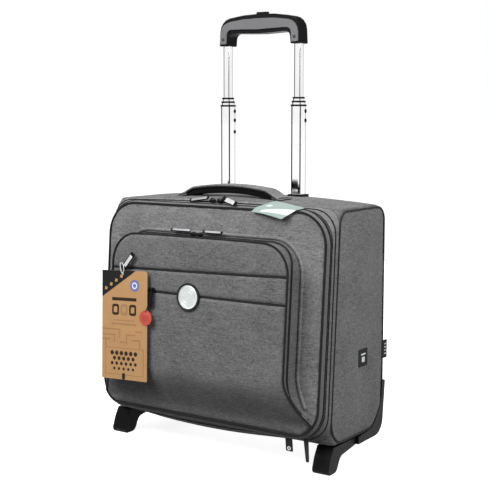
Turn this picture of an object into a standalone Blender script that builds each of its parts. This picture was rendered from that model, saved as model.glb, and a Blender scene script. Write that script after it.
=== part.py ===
"""Rolling laptop case: a soft zipped case on two wheels with a four-stage trolley handle.

The case stands on z = 0 with its front towards -Y and its left side (as seen from the front) at -X.
Sizes are metres. Shapes are drawn in a drafting frame whose y = 0 is the lid's top front line;
add_piece() then shifts them by FRONT_LINE_Y, so that the finished case is centred on the origin.
"""

import math

import bmesh
import bpy
from mathutils import Matrix, Vector

MM = 0.001
GAP = 0.3 * MM
FRONT_LINE_Y = -56.25 * MM

# Case body
HALF_WIDTH = 212.5 * MM
BACK_Y = 163 * MM
PANEL = 3 * MM
SEAM = 0.8 * MM
HEM = 7 * MM
TOP_LINE_Z = 388.5 * MM
LEAN = 0.0794
LEAN_DEPTH = 80 * MM
BACK_TOP_RADIUS = 25 * MM
BACK_BOTTOM_RADIUS = 45 * MM
TOP_Z = 393 * MM
BOTTOM_Z = 40 * MM
CROWN = 9 * MM

# Lid and front pocket
LID_HALF = 205 * MM
LID_BOTTOM_Z = 60.5 * MM
LID_THICK = 7.8 * MM
POCKET_HALF = 165 * MM
POCKET_TOP_Z = 344 * MM
POCKET_BOTTOM_Z = 62.5 * MM
POCKET_CORNER = 45 * MM
POCKET_DEPTH = 36.5 * MM
POCKET_BELLY = 2.2 * MM
POCKET_CROWN = 1.5 * MM
POCKET_EDGE_LOW = 4 * MM
POCKET_WALL = 3.5 * MM
POCKET_FLARE = 32 * MM
FLARE_TOP = 152 * MM
FLARE_END = 80 * MM
SLIDER_DEPTH = 41 * MM
PULL_DEPTH = 45.2 * MM

# Trolley handle
TUBE_X = 68.8 * MM
TUBE_Y = 140 * MM
STAGE_WIDTHS = {"a": 19.2 * MM, "b": 16.8 * MM, "c": 14.4 * MM, "d": 12.0 * MM}
STAGE_TOPS = {"a": 545 * MM, "b": 551 * MM, "c": 557 * MM, "d": 666.5 * MM}
STAGE_BOTTOMS = {"a": 345 * MM, "b": 351 * MM, "c": 357 * MM, "d": 437 * MM}
TUBE_WALL = 0.8 * MM
GRIP_BOTTOM_Z = 642 * MM
GRIP_TOP_Z = 691 * MM
BEZEL = 27 * MM
LOCK_Z = 449 * MM
YOKE_Z = 675 * MM
YOKE_RADIUS = 2 * MM

# Tags and labels, by their depth in front of the lid's face
KRAFT_DEPTH = 47 * MM
KRAFT_THICK = 0.7 * MM
KRAFT_TURN = 2.6
RED_DEPTH = 48.3 * MM
RED_THICK = 0.8 * MM
FLAG_END_Y = 182 * MM

# Wheels and guards
WHEEL_X = 156 * MM
WHEEL_Y = 137 * MM
WHEEL_RADIUS = 21 * MM
WHEEL_WIDTH = 20 * MM
AXLE_RADIUS = 3 * MM
GUARD_OUT_X = 214.7 * MM

FINISHES = {
    "heather": ((0.205, 0.205, 0.212), 0.92, 0.0),
    "dark_fabric": ((0.025, 0.025, 0.028), 0.9, 0.0),
    "black_plastic": ((0.012, 0.012, 0.014), 0.38, 0.0),
    "grey_plastic": ((0.16, 0.16, 0.165), 0.4, 0.0),
    "aluminium": ((0.78, 0.79, 0.80), 0.22, 1.0),
    "steel": ((0.55, 0.56, 0.58), 0.3, 1.0),
    "rubber": ((0.02, 0.02, 0.02), 0.8, 0.0),
    "white_metal": ((0.72, 0.75, 0.75), 0.35, 0.6),
    "kraft": ((0.60, 0.34, 0.13), 0.85, 0.0),
    "mint_card": ((0.60, 0.78, 0.70), 0.6, 0.0),
    "red_card": ((0.50, 0.05, 0.03), 0.6, 0.0),
}

PLANES = {
    "YZ": Matrix(((0, 0, 1), (1, 0, 0), (0, 1, 0))).to_4x4(),
    "XZ": Matrix(((1, 0, 0), (0, 0, -1), (0, 1, 0))).to_4x4(),
    "XY": Matrix.Identity(4),
}
NORMALS = {"YZ": Vector((1, 0, 0)), "XZ": Vector((0, 1, 0)), "XY": Vector((0, 0, 1))}
LID_SHEAR = Matrix(((1, 0, 0, 0), (0, 1, LEAN, -LEAN * TOP_LINE_Z), (0, 0, 1, 0), (0, 0, 0, 1)))

parts = bpy.data.collections.new("rolling_laptop_case")
cutters = bpy.data.collections.new("cutters")


# ---------------------------------------------------------------- tools


def clear_scene():
    for obj in list(bpy.data.objects):
        bpy.data.objects.remove(obj, do_unlink=True)
    bpy.context.scene.collection.children.link(parts)
    bpy.context.scene.collection.children.link(cutters)


def mesh_of(bm, name="mesh"):
    mesh = bpy.data.meshes.new(name)
    bm.to_mesh(mesh)
    bm.free()
    return mesh


def finish_material(name, finish):
    colour, roughness, metallic = FINISHES[finish]
    material = bpy.data.materials.new(name)
    material.use_nodes = True
    shader = material.node_tree.nodes["Principled BSDF"]
    shader.inputs["Base Color"].default_value = (*colour, 1)
    shader.inputs["Roughness"].default_value = roughness
    shader.inputs["Metallic"].default_value = metallic
    return material


def add_piece(name, mesh, finish, pivot=(0, 0, 0)):
    """Puts a drafted mesh in the scene as a named piece, with its origin on the given pivot."""
    mesh.name = name
    mesh.transform(Matrix.Translation(-Vector(pivot)))
    mesh.materials.clear()
    mesh.materials.append(finish_material(name, finish))
    piece = bpy.data.objects.new(name, mesh)
    piece.location = Vector(pivot) + Vector((0, FRONT_LINE_Y, 0))
    parts.objects.link(piece)
    return piece


def cut(piece, mesh, operation="DIFFERENCE"):
    """Applies a drafted mesh to a piece as an exact Boolean."""
    tool = bpy.data.objects.new(piece.name + "_cutter", mesh)
    tool.location = (0, FRONT_LINE_Y, 0)
    tool.hide_render = True
    tool.display_type = "WIRE"
    cutters.objects.link(tool)
    boolean = piece.modifiers.new("cut", "BOOLEAN")
    boolean.operation = operation
    boolean.solver = "EXACT"
    boolean.use_self = True
    boolean.object = tool


def soften(piece, width, segments=2):
    bevel = piece.modifiers.new("soften", "BEVEL")
    bevel.width = width
    bevel.segments = segments
    bevel.limit_method = "ANGLE"
    bevel.angle_limit = math.radians(40)


def arc(centre, radius, start, end, steps):
    """Points on an arc in a plane, angles in degrees."""
    angles = [math.radians(start + (end - start) * i / steps) for i in range(steps + 1)]
    return [(centre[0] + radius * math.cos(a), centre[1] + radius * math.sin(a)) for a in angles]


def rounded(corners, steps=4):
    """Closed outline through (u, v, radius) corners, each rounded by an arc."""
    points = []
    for i, (u, v, radius) in enumerate(corners):
        here = Vector((u, v))
        if radius == 0:
            points.append((u, v))
            continue
        to_last = (Vector(corners[i - 1][:2]) - here).normalized()
        to_next = (Vector(corners[(i + 1) % len(corners)][:2]) - here).normalized()
        half = to_last.angle(to_next) / 2
        centre = here + (to_last + to_next).normalized() * (radius / math.sin(half))
        first = (here + to_last * (radius / math.tan(half)) - centre).normalized()
        last = (here + to_next * (radius / math.tan(half)) - centre).normalized()
        for k in range(steps + 1):
            points.append(tuple(centre + first.slerp(last, k / steps, first) * radius))
    return points


def rectangle(u0, u1, v0, v1, radius=0.0, steps=3):
    return rounded([(u0, v0, radius), (u1, v0, radius), (u1, v1, radius), (u0, v1, radius)], steps)


def mirrored(half_corners):
    """Corners of a closed outline, from those of its right half read top to bottom."""
    return half_corners + [(-u, v, r) for u, v, r in reversed(half_corners)]


def solid_of(curve):
    """The closed mesh of a curve, its caps welded on."""
    holder = bpy.data.objects.new(curve.name, curve)
    bpy.context.scene.collection.objects.link(holder)
    graph = bpy.context.evaluated_depsgraph_get()
    solid = bpy.data.meshes.new_from_object(holder.evaluated_get(graph))
    bpy.data.objects.remove(holder)
    bm = bmesh.new()
    bm.from_mesh(solid)
    bmesh.ops.remove_doubles(bm, verts=bm.verts, dist=1e-6)
    bmesh.ops.recalc_face_normals(bm, faces=bm.faces)
    bm.to_mesh(solid)
    bm.free()
    return solid


def prism(outlines, low, high, plane):
    """A flat outline, with any further outlines as holes, extruded from low to high."""
    curve = bpy.data.curves.new("outline", "CURVE")
    curve.dimensions = "2D"
    curve.fill_mode = "BOTH"
    curve.extrude = (high - low) / 2
    for outline in outlines:
        spline = curve.splines.new("POLY")
        spline.points.add(len(outline) - 1)
        for point, (u, v) in zip(spline.points, outline):
            point.co = (u, v, 0, 1)
        spline.use_cyclic_u = True
    solid = solid_of(curve)
    solid.transform(Matrix.Translation(NORMALS[plane] * (low + high) / 2) @ PLANES[plane])
    return solid


def loft(rings):
    """A closed skin through rings of equal point counts, capped at both ends."""
    bm = bmesh.new()
    rows = [[bm.verts.new(point) for point in ring] for ring in rings]
    for row, following in zip(rows, rows[1:]):
        for i in range(len(row)):
            j = (i + 1) % len(row)
            bm.faces.new((row[i], row[j], following[j], following[i]))
    bm.faces.new(rows[0])
    bm.faces.new(list(reversed(rows[-1])))
    bmesh.ops.recalc_face_normals(bm, faces=bm.faces)
    return mesh_of(bm)


def block(centre, size):
    bm = bmesh.new()
    bmesh.ops.create_cube(bm, size=1, matrix=Matrix.Translation(centre) @ Matrix.Diagonal((*size, 1)))
    return mesh_of(bm)


def rod(start, end, radius, segments=12):
    """A solid cylinder between two points."""
    start, end = Vector(start), Vector(end)
    along = end - start
    turn = along.to_track_quat("Z", "Y").to_matrix().to_4x4()
    bm = bmesh.new()
    bmesh.ops.create_cone(
        bm,
        cap_ends=True,
        segments=segments,
        radius1=radius,
        radius2=radius,
        depth=along.length,
        matrix=Matrix.Translation((start + end) / 2) @ turn,
    )
    return mesh_of(bm)


def wire(points, radius, resolution=2):
    """A round bar along a polyline, with its ends capped."""
    curve = bpy.data.curves.new("wire", "CURVE")
    curve.dimensions = "3D"
    curve.bevel_depth = radius
    curve.bevel_resolution = resolution
    curve.use_fill_caps = True
    spline = curve.splines.new("POLY")
    spline.points.add(len(points) - 1)
    for point, place in zip(spline.points, points):
        point.co = (*place, 1)
    return solid_of(curve)


def turned_about(mesh, pivot, axis, degrees):
    place = Matrix.Translation(pivot)
    mesh.transform(place @ Matrix.Rotation(math.radians(degrees), 4, axis) @ place.inverted())
    return mesh


def smoothstep(value):
    value = min(max(value, 0), 1)
    return value * value * (3 - 2 * value)


def leaned(depth, z):
    """Where a point this far behind the front face stands: the front leans back, the rear is upright."""
    return depth - LEAN * (TOP_LINE_Z - z) * max(0, 1 - depth / LEAN_DEPTH)


# ---------------------------------------------------------------- case body

# Depth behind the front face, half width, top, top corner radius, bottom, bottom corner radius, crown
FRONT_STATIONS = (
    (8.5, 209.5, 389.0, 46, 58.0, 42, 2),
    (22.5, 212.2, 392.5, 26, 48.0, 34, 6),
    (27.0, 212.5, 393.0, 10, 43.5, 16, 7),
    (33.0, 212.5, 393.0, 5, 41.0, 6, 8),
    (60.0, 212.5, 393.0, 4, 40.0, 4, 9),
    (118.0, 212.5, 393.0, 4, 40.0, 4, 9),
)
FRAME_DEPTHS = (8.5 * MM, 15.5 * MM, 22.5 * MM)
PANEL_DEPTHS = (24.4 * MM, 27 * MM, 33 * MM, 60 * MM, 118 * MM)
BACK_ANGLES = (0, 35, 62, 90)


def front_station(depth):
    """The cross-section at a depth, read between the stations."""
    for near, far in zip(FRONT_STATIONS, FRONT_STATIONS[1:]):
        if depth <= far[0] * MM + 1e-9:
            share = (depth - near[0] * MM) / ((far[0] - near[0]) * MM)
            return [(a + (b - a) * share) * MM for a, b in zip(near, far)]
    raise ValueError("depth is behind the last front station")


def back_station(angle):
    """The cross-section where the top has turned by this angle into the back."""
    turn = math.radians(angle)
    depth = BACK_Y - BACK_TOP_RADIUS + BACK_TOP_RADIUS * math.sin(turn)
    top = TOP_Z - BACK_TOP_RADIUS + BACK_TOP_RADIUS * math.cos(turn)
    inset = depth - (BACK_Y - BACK_BOTTOM_RADIUS)
    bottom = BOTTOM_Z + BACK_BOTTOM_RADIUS - math.sqrt(max(BACK_BOTTOM_RADIUS**2 - inset**2, 0))
    crown = CROWN * math.sqrt(math.cos(turn)) if angle < 90 else 0
    return [depth, HALF_WIDTH, top, 4 * MM, bottom, 4 * MM, crown]


def section(station, span):
    """Points of one cross-section over its top, under its bottom, or all round."""
    depth, half, top, top_radius, bottom, bottom_radius, crown = station
    low, high = bottom + bottom_radius + HEM, top - top_radius - HEM
    corner = arc((half - top_radius, top - top_radius), top_radius, 0, 90, 4)
    flat = [(half - top_radius) * share for share in (0.72, 0.4, 0)]
    over = [(half, high)] + corner + [(x, top) for x in flat]
    over += [(-x, z) for x, z in reversed(over[:-1])]
    over = [(x, z + crown * (1 - (x / half) ** 2)) for x, z in over]
    corner = arc((-half + bottom_radius, bottom + bottom_radius), bottom_radius, 180, 270, 4)
    under = [(-half, low)] + corner
    under += [(-x, z) for x, z in reversed(under)]
    spans = {"top": over, "bottom": under, "all": over + under}
    return [(x, leaned(depth, z), z) for x, z in spans[span]]


def sewn_panel(name, stations, span):
    """A padded fabric panel: an open sheet through the stations, thickened inwards."""
    rows = [section(station, span) for station in stations]
    around = span == "all"
    bm = bmesh.new()
    grid = [[bm.verts.new(point) for point in row] for row in rows]
    for row, following in zip(grid, grid[1:]):
        for i in range(len(row) - (0 if around else 1)):
            j = (i + 1) % len(row)
            bm.faces.new((row[i], row[j], following[j], following[i]))
    bm.normal_update()
    middle = Vector((0, BACK_Y / 2, (TOP_Z + BOTTOM_Z) / 2))
    if sum(face.normal.dot(face.calc_center_median() - middle) for face in bm.faces) < 0:
        bmesh.ops.reverse_faces(bm, faces=bm.faces)
    piece = add_piece(name, mesh_of(bm), "heather")
    shell = piece.modifiers.new("padding", "SOLIDIFY")
    shell.thickness = PANEL
    shell.offset = -1
    return piece


def side_outline(grow=0.0):
    """Outline of a side panel in the YZ plane, leaning forward at its front edge."""
    foot, head = 44.5 * MM - grow, 389.5 * MM + grow
    return rounded(
        [
            (25.5 * MM - grow, head, 22 * MM + grow),
            (161.6 * MM + grow, head, 22 * MM + grow),
            (161.6 * MM + grow, foot, 43 * MM + grow),
            (0.8 * MM - grow, foot, 36 * MM + grow),
        ],
        5,
    )


def make_case_body():
    stations = [front_station(depth) for depth in PANEL_DEPTHS] + [back_station(a) for a in BACK_ANGLES]
    frame = sewn_panel("front_frame", [front_station(depth) for depth in FRAME_DEPTHS], "all")
    top = sewn_panel("top_panel", stations, "top")
    bottom = sewn_panel("bottom_panel", stations, "bottom")
    for side, label in ((-1, "left"), (1, "right")):
        hole = BEZEL + 2 * GAP
        cut(top, block((side * TUBE_X, TUBE_Y, 395 * MM), (hole, hole, 50 * MM)))
        reach = sorted((side * (HALF_WIDTH - PANEL), side * HALF_WIDTH))
        add_piece("side_panel_" + label, prism([side_outline()], *reach, "YZ"), "heather")
        reach = sorted((side * (HALF_WIDTH - PANEL - 4 * SEAM), side * (HALF_WIDTH + SEAM)))
        for neighbour in (frame, top, bottom):
            cut(neighbour, prism([side_outline(SEAM / 2)], *reach, "YZ"))

    low = BOTTOM_Z + BACK_BOTTOM_RADIUS + 2 * SEAM
    high = TOP_Z - BACK_TOP_RADIUS - 2 * SEAM
    outline = rectangle(-HALF_WIDTH + PANEL + SEAM, HALF_WIDTH - PANEL - SEAM, low, high, 2 * MM, 2)
    add_piece("back_panel", prism([outline], BACK_Y - PANEL, BACK_Y, "XZ"), "heather")

    board = rectangle(-195 * MM, 195 * MM, 54 * MM, 372 * MM, 20 * MM)
    add_piece("back_board", prism([board], 124.5 * MM, 126.5 * MM, "XZ"), "black_plastic")

    sleeve = rounded(
        [
            (93 * MM, 54 * MM, 4 * MM),
            (124 * MM, 54 * MM, 0),
            (124 * MM, 58 * MM, 0),
            (99 * MM, 58 * MM, 2 * MM),
            (99 * MM, 300 * MM, 2.5 * MM),
            (93 * MM, 300 * MM, 2.5 * MM),
        ],
        2,
    )
    add_piece("laptop_sleeve", prism([sleeve], -182 * MM, 182 * MM, "YZ"), "dark_fabric")


def make_labels():
    label = rectangle(77 * MM, 104 * MM, 150 * MM, 177 * MM, 1.5 * MM, 2)
    add_piece("side_label", prism([label], HALF_WIDTH + GAP, HALF_WIDTH + 1.1 * MM, "YZ"), "dark_fabric")
    flag = rectangle(BACK_Y + GAP, FLAG_END_Y, 147 * MM, 176 * MM, 1 * MM, 2)
    add_piece("flag_label", prism([flag], 208.6 * MM, 210.4 * MM, "YZ"), "dark_fabric")


# ---------------------------------------------------------------- guards, feet and wheels


def body_profile(clearance):
    """Side outline of the case's lower back corner, grown by a clearance."""
    back = BACK_Y + clearance
    low = BOTTOM_Z - clearance
    return rounded(
        [
            (-60 * MM, low, 0),
            (back, low, BACK_BOTTOM_RADIUS + clearance),
            (back, 200 * MM, 0),
            (-60 * MM, 200 * MM, 0),
        ],
        8,
    )


def make_guard(side, name):
    """Corner guard: a bumper round the lower back corner, with cheeks that hold the wheel's axle."""
    outline = rounded(
        [
            (84 * MM, 28.8 * MM, 0),
            (160 * MM, 29.8 * MM, 25 * MM),
            (169 * MM, 114 * MM, 2.5 * MM),
            (158.6 * MM, 114 * MM, 2 * MM),
            (156.5 * MM, 80 * MM, 22 * MM),
            (130 * MM, 44.5 * MM, 30 * MM),
            (84 * MM, 40.5 * MM, 0),
        ],
        5,
    )
    reach = sorted((side * 130 * MM, side * GUARD_OUT_X))
    guard = add_piece(name, prism([outline], reach[0], reach[1], "YZ"), "black_plastic")
    inside = sorted((side * 100 * MM, side * (HALF_WIDTH + GAP)))
    cut(guard, prism([body_profile(0.5 * MM)], inside[0], inside[1], "YZ"))
    axle_z = WHEEL_RADIUS
    cheek = rounded(
        [
            (WHEEL_Y - 20 * MM, 36 * MM, 0),
            (WHEEL_Y - 9 * MM, axle_z - 9.5 * MM, 8 * MM),
            (WHEEL_Y + 9 * MM, axle_z - 9.5 * MM, 8 * MM),
            (WHEEL_Y + 20 * MM, 36 * MM, 0),
        ],
        4,
    )
    cheeks = sorted((side * (WHEEL_X - 16.5 * MM), side * (WHEEL_X + 16.5 * MM)))
    cut(guard, prism([cheek], cheeks[0], cheeks[1], "YZ"), "UNION")
    well = WHEEL_WIDTH / 2 + 1.2 * MM
    centre = Vector((side * WHEEL_X, WHEEL_Y, axle_z))
    cut(guard, rod(centre - Vector((well, 0, 0)), centre + Vector((well, 0, 0)), WHEEL_RADIUS + 2.5 * MM, 32))
    reach = Vector((30 * MM, 0, 0))
    cut(guard, rod(centre - reach, centre + reach, AXLE_RADIUS + 0.4 * MM, 16))


def make_foot(side, name):
    """Front skid foot: a curved block under the front corner that runs back to the guard."""
    outline = rounded(
        [
            (16 * MM, 39.4 * MM, 2 * MM),
            (7 * MM, 24 * MM, 25 * MM),
            (0.5 * MM, 6 * MM, 6 * MM),
            (3.5 * MM, 0, 2.5 * MM),
            (25 * MM, 0, 12 * MM),
            (36 * MM, 22 * MM, 14 * MM),
            (83.5 * MM, 28.6 * MM, 0),
            (83.5 * MM, 39.4 * MM, 0),
        ],
        4,
    )
    reach = sorted((side * 181.6 * MM, side * 210 * MM))
    foot = add_piece(name, prism([outline], reach[0], reach[1], "YZ"), "black_plastic")
    soften(foot, 1.2 * MM, 1)


def turned_ring(name, profile, finish, centre, steps=28):
    """A closed profile of (radius, x) points turned about an axle along X."""
    bm = bmesh.new()
    loop = [bm.verts.new((x, 0, radius)) for radius, x in profile]
    for first, second in zip(loop, loop[1:] + loop[:1]):
        bm.edges.new((first, second))
    piece = add_piece(name, mesh_of(bm), finish)
    piece.location = Vector(centre) + Vector((0, FRONT_LINE_Y, 0))
    screw = piece.modifiers.new("turn", "SCREW")
    screw.axis = "X"
    screw.steps = steps
    screw.render_steps = steps
    screw.merge_threshold = 1e-5
    screw.use_normal_flip = True
    return piece


def make_wheel(side, label):
    centre = (side * WHEEL_X, WHEEL_Y, WHEEL_RADIUS)
    half = WHEEL_WIDTH / 2
    hub = [
        (AXLE_RADIUS + 0.4 * MM, -half + 0.5 * MM),
        (AXLE_RADIUS + 3 * MM, -half + 0.5 * MM),
        (AXLE_RADIUS + 4 * MM, -half + 4 * MM),
        (12.5 * MM, -half + 4 * MM),
        (14 * MM, -half + 1 * MM),
        (14 * MM, half - 1 * MM),
        (12.5 * MM, half - 4 * MM),
        (AXLE_RADIUS + 4 * MM, half - 4 * MM),
        (AXLE_RADIUS + 3 * MM, half - 0.5 * MM),
        (AXLE_RADIUS + 0.4 * MM, half - 0.5 * MM),
    ]
    tyre = [
        (14.4 * MM, -half + 1 * MM),
        (18.5 * MM, -half),
        (20.4 * MM, -half + 2 * MM),
        (WHEEL_RADIUS, -half + 5 * MM),
        (WHEEL_RADIUS, half - 5 * MM),
        (20.4 * MM, half - 2 * MM),
        (18.5 * MM, half),
        (14.4 * MM, half - 1 * MM),
    ]
    turned_ring("wheel_hub_" + label, hub, "grey_plastic", centre)
    turned_ring("wheel_tyre_" + label, tyre, "rubber", centre)
    reach = Vector((17.5 * MM, 0, 0))
    axle = rod(Vector(centre) - reach, Vector(centre) + reach, AXLE_RADIUS, 16)
    add_piece("wheel_axle_" + label, axle, "steel")


# ---------------------------------------------------------------- trolley handle


def square_tube(side, width, wall, low, high, corner_share=0.22):
    outer = square_outline(side, width, width * corner_share)
    inner = square_outline(side, width - 2 * wall, width * corner_share - wall * 0.6)
    return prism([outer, inner], low, high, "XY")


def square_outline(side, width, radius):
    half = width / 2
    return rectangle(
        side * TUBE_X - half, side * TUBE_X + half, TUBE_Y - half, TUBE_Y + half, radius, 3
    )


def make_stage_tubes():
    for side, label in ((-1, "left"), (1, "right")):
        for stage, width in STAGE_WIDTHS.items():
            tube = square_tube(side, width, TUBE_WALL, STAGE_BOTTOMS[stage], STAGE_TOPS[stage])
            piece = add_piece(f"tube_{stage}_{label}", tube, "aluminium")
            if stage == "d":
                start = Vector((side * (TUBE_X + 3 * MM), TUBE_Y, LOCK_Z))
                cut(piece, rod(start, start + Vector((side * 6 * MM, 0, 0)), 2.3 * MM, 12))
        guide = square_tube(side, STAGE_WIDTHS["a"] + 2.6 * MM, 0.9 * MM, 72 * MM, 391 * MM)
        add_piece(f"guide_tube_{label}", guide, "aluminium")
        rim = square_outline(side, BEZEL, 4 * MM)
        mouth = square_outline(side, STAGE_WIDTHS["a"] + 0.8 * MM, 4 * MM)
        add_piece(f"top_bezel_{label}", prism([rim, mouth], 391.5 * MM, 403.5 * MM, "XY"), "black_plastic")


def make_handle_base():
    """The bar that ties the two guide tubes together at the foot of the case."""
    outline = rectangle(-86 * MM, 86 * MM, 126.8 * MM, 153.2 * MM, 5 * MM, 3)
    base = add_piece("handle_base", prism([outline], 66 * MM, 84 * MM, "XY"), "black_plastic")
    socket = STAGE_WIDTHS["a"] + 2.6 * MM + 2 * GAP
    for side in (-1, 1):
        cut(base, block((side * TUBE_X, TUBE_Y, 91.5 * MM), (socket, socket, 40 * MM)))


def grip_outline():
    """Front outline of the grip, a bridge on two legs."""
    outer, inner = 77.4 * MM, 60.2 * MM
    return rounded(
        mirrored(
            [
                (0.1 * MM, GRIP_TOP_Z, 0),
                (30 * MM, GRIP_TOP_Z - 1 * MM, 60 * MM),
                (outer - 2 * MM, 684 * MM, 23 * MM),
                (outer, GRIP_BOTTOM_Z, 1.5 * MM),
                (inner, GRIP_BOTTOM_Z, 1.5 * MM),
                (inner - 2 * MM, 662.5 * MM, 9 * MM),
                (30 * MM, 661 * MM, 30 * MM),
                (0.1 * MM, 660 * MM, 0),
            ]
        ),
        4,
    )


def make_grip():
    shell = add_piece("grip_shell", prism([grip_outline()], 128.6 * MM, 152.6 * MM, "XZ"), "black_plastic")
    soften(shell, 3.5 * MM, 2)
    cavity = (2 * 70.9 * MM, 9 * MM, 20 * MM)
    cut(shell, block((0, TUBE_Y, 675 * MM), cavity))
    socket = STAGE_WIDTHS["d"] + 2 * GAP
    for side in (-1, 1):
        cut(shell, block((side * TUBE_X, TUBE_Y, 653 * MM), (socket, socket, 29 * MM)))
    cut(shell, block((0, TUBE_Y, 688 * MM), (22.4 * MM, 10 * MM, 16 * MM)))

    band = rounded(
        mirrored(
            [
                (0.1 * MM, 684 * MM, 0),
                (30 * MM, 683.3 * MM, 50 * MM),
                (74.5 * MM, 678 * MM, 21 * MM),
                (75 * MM, 645 * MM, 1 * MM),
                (63 * MM, 645 * MM, 1 * MM),
                (62 * MM, 668 * MM, 9 * MM),
                (30 * MM, 667.5 * MM, 40 * MM),
                (0.1 * MM, 666.5 * MM, 0),
            ]
        ),
        4,
    )
    insert = add_piece("grip_insert", prism([band], 125.9 * MM, 128.3 * MM, "XZ"), "grey_plastic")
    soften(insert, 0.8 * MM, 1)

    button = rectangle(-10.7 * MM, 10.7 * MM, TUBE_Y - 4.5 * MM, TUBE_Y + 4.5 * MM, 3 * MM, 3)
    pad = add_piece(
        "release_button",
        prism([button], YOKE_Z + YOKE_RADIUS + GAP, 694.6 * MM, "XY"),
        "black_plastic",
        (0, TUBE_Y, YOKE_Z),
    )
    soften(pad, 1 * MM, 1)

    foot_z = LOCK_Z + 7 * MM
    yoke = wire(
        [
            (-TUBE_X, TUBE_Y, foot_z),
            (-TUBE_X, TUBE_Y, YOKE_Z),
            (TUBE_X, TUBE_Y, YOKE_Z),
            (TUBE_X, TUBE_Y, foot_z),
        ],
        YOKE_RADIUS,
        1,
    )
    add_piece("release_yoke", yoke, "steel", (0, TUBE_Y, YOKE_Z))

    for side, label in ((-1, "left"), (1, "right")):
        start = Vector((side * (TUBE_X - 1 * MM), TUBE_Y, LOCK_Z))
        end = Vector((side * (TUBE_X + 6 * MM), TUBE_Y, LOCK_Z))
        add_piece(f"lock_pin_{label}", rod(start, end, 1.8 * MM, 12), "steel", start)

    turns, steps, coil_radius, wire_radius = 3.5, 10, 3.2 * MM, 0.45 * MM
    low, high = 666 * MM, YOKE_Z - YOKE_RADIUS - GAP - wire_radius
    coil = []
    for i in range(int(turns * steps) + 1):
        angle = 2 * math.pi * i / steps
        rise = low + (high - low) * i / (turns * steps)
        coil.append((coil_radius * math.cos(angle), TUBE_Y + coil_radius * math.sin(angle), rise))
    add_piece("button_spring", wire(coil, wire_radius, 0), "steel", (0, TUBE_Y, low))


# ---------------------------------------------------------------- lid and front pocket


def add_lid_piece(name, mesh, finish, pivot=(0, 0, 0)):
    """Adds a piece drafted upright in front of the lid, leaned back with the lid."""
    mesh.transform(LID_SHEAR)
    return add_piece(name, mesh, finish, pivot)


def on_lid(x, depth, z):
    """A point this far in front of the lid's face, in the drafting frame."""
    return Vector((x, -depth - LEAN * (TOP_LINE_Z - z), z))


def flare_share(z):
    """How far the pocket's side has turned out to the lid's corner: 0 where it is straight, 1 at its end."""
    return min(max((FLARE_TOP - z) / (FLARE_TOP - FLARE_END), 0), 1) ** 1.75


def pocket_half_width(z):
    """Half width of the front pocket at a height: straight sides that flare out to the lid's corners."""
    if z > POCKET_TOP_Z - POCKET_CORNER:
        rise = z - (POCKET_TOP_Z - POCKET_CORNER)
        return POCKET_HALF - POCKET_CORNER + math.sqrt(max(POCKET_CORNER**2 - rise**2, 0))
    if z > FLARE_END:
        return POCKET_HALF + POCKET_FLARE * flare_share(z)
    corner = 42 * MM
    drop = min(LID_BOTTOM_Z + corner - z, corner)
    return LID_HALF - 1.5 * MM - corner + math.sqrt(corner**2 - drop**2)


def pocket_edge_depth(z):
    """How far the pocket's edge stands in front of the lid."""
    return POCKET_DEPTH - (POCKET_DEPTH - POCKET_EDGE_LOW) * flare_share(z)


def pocket_depth(x, z):
    """How far the pocket's face stands in front of the lid."""
    edge = pocket_edge_depth(z)
    full = POCKET_DEPTH + POCKET_BELLY - POCKET_EDGE_LOW
    belly = POCKET_EDGE_LOW + full * smoothstep((z - POCKET_BOTTOM_Z) / (75 * MM))
    share = min(abs(x) / pocket_half_width(z), 1)
    return edge + (max(belly, edge) - edge) * (1 - share**4) + POCKET_CROWN * (1 - share**2) * (z > 75 * MM)


def pocket_rows():
    top = [POCKET_TOP_Z - POCKET_CORNER * (1 - math.sin(math.radians(a))) for a in (88, 62, 36, 15)]
    return top + [z * MM for z in (270, 200, 152, 138, 124, 110, 98, 88, 80, 70, 63.5)]


def make_lid():
    outline = rounded(
        mirrored([(LID_HALF, TOP_LINE_Z, 50 * MM), (LID_HALF, LID_BOTTOM_Z, 42 * MM)]),
        6,
    )
    lid = add_lid_piece("lid_panel", prism([outline], 0, LID_THICK, "XZ"), "heather", LID_HINGE)
    soften(lid, 1.5 * MM, 1)

    # The gusset is an arch of constant wall from the left flare over the top to the right flare.
    heights = [105, 115, 128, 142, 160, 200, 250, 299]
    right = [(pocket_half_width(z * MM), z * MM) for z in heights]
    corner = (POCKET_HALF - POCKET_CORNER, POCKET_TOP_Z - POCKET_CORNER)
    path = right + arc(corner, POCKET_CORNER, 15, 90, 5) + [(0, POCKET_TOP_Z)]
    path += [(-x, z) for x, z in reversed(path[:-1])]
    rings = []
    for i, (x, z) in enumerate(path):
        before, after = path[max(i - 1, 0)], path[min(i + 1, len(path) - 1)]
        along = Vector((after[0] - before[0], after[1] - before[1])).normalized()
        inward = Vector((-along.y, along.x))
        near = Vector((x, z)) + inward * 1 * MM
        far = Vector((x, z)) + inward * (1 * MM + POCKET_WALL)
        reach = max(pocket_edge_depth(z) - POCKET_WALL - 1.2 * MM, 1.2 * MM)
        rings.append(
            [
                (near.x, -GAP, near.y),
                (near.x, -reach, near.y),
                (far.x, -reach, far.y),
                (far.x, -GAP, far.y),
            ]
        )
    add_lid_piece("pocket_gusset", loft(rings), "heather", LID_HINGE)

    make_pocket_panel()


def make_pocket_panel():
    """The pocket's bellied face, thick enough to carry the badge and the zips."""
    shares = (-1, -0.93, -0.75, -0.4, 0, 0.4, 0.75, 0.93, 1)
    rings = []
    for z in pocket_rows():
        half = pocket_half_width(z)
        face = [(half * s, -pocket_depth(half * s, z), z) for s in shares]
        wall = min(POCKET_WALL, pocket_edge_depth(z) - GAP - 0.2 * MM)
        back = [(x, min(y + wall, -GAP - 0.1 * MM), z) for x, y, z in reversed(face)]
        rings.append(face + back)
    add_lid_piece("pocket_panel", loft(rings), "heather", POCKET_HINGE)


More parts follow.
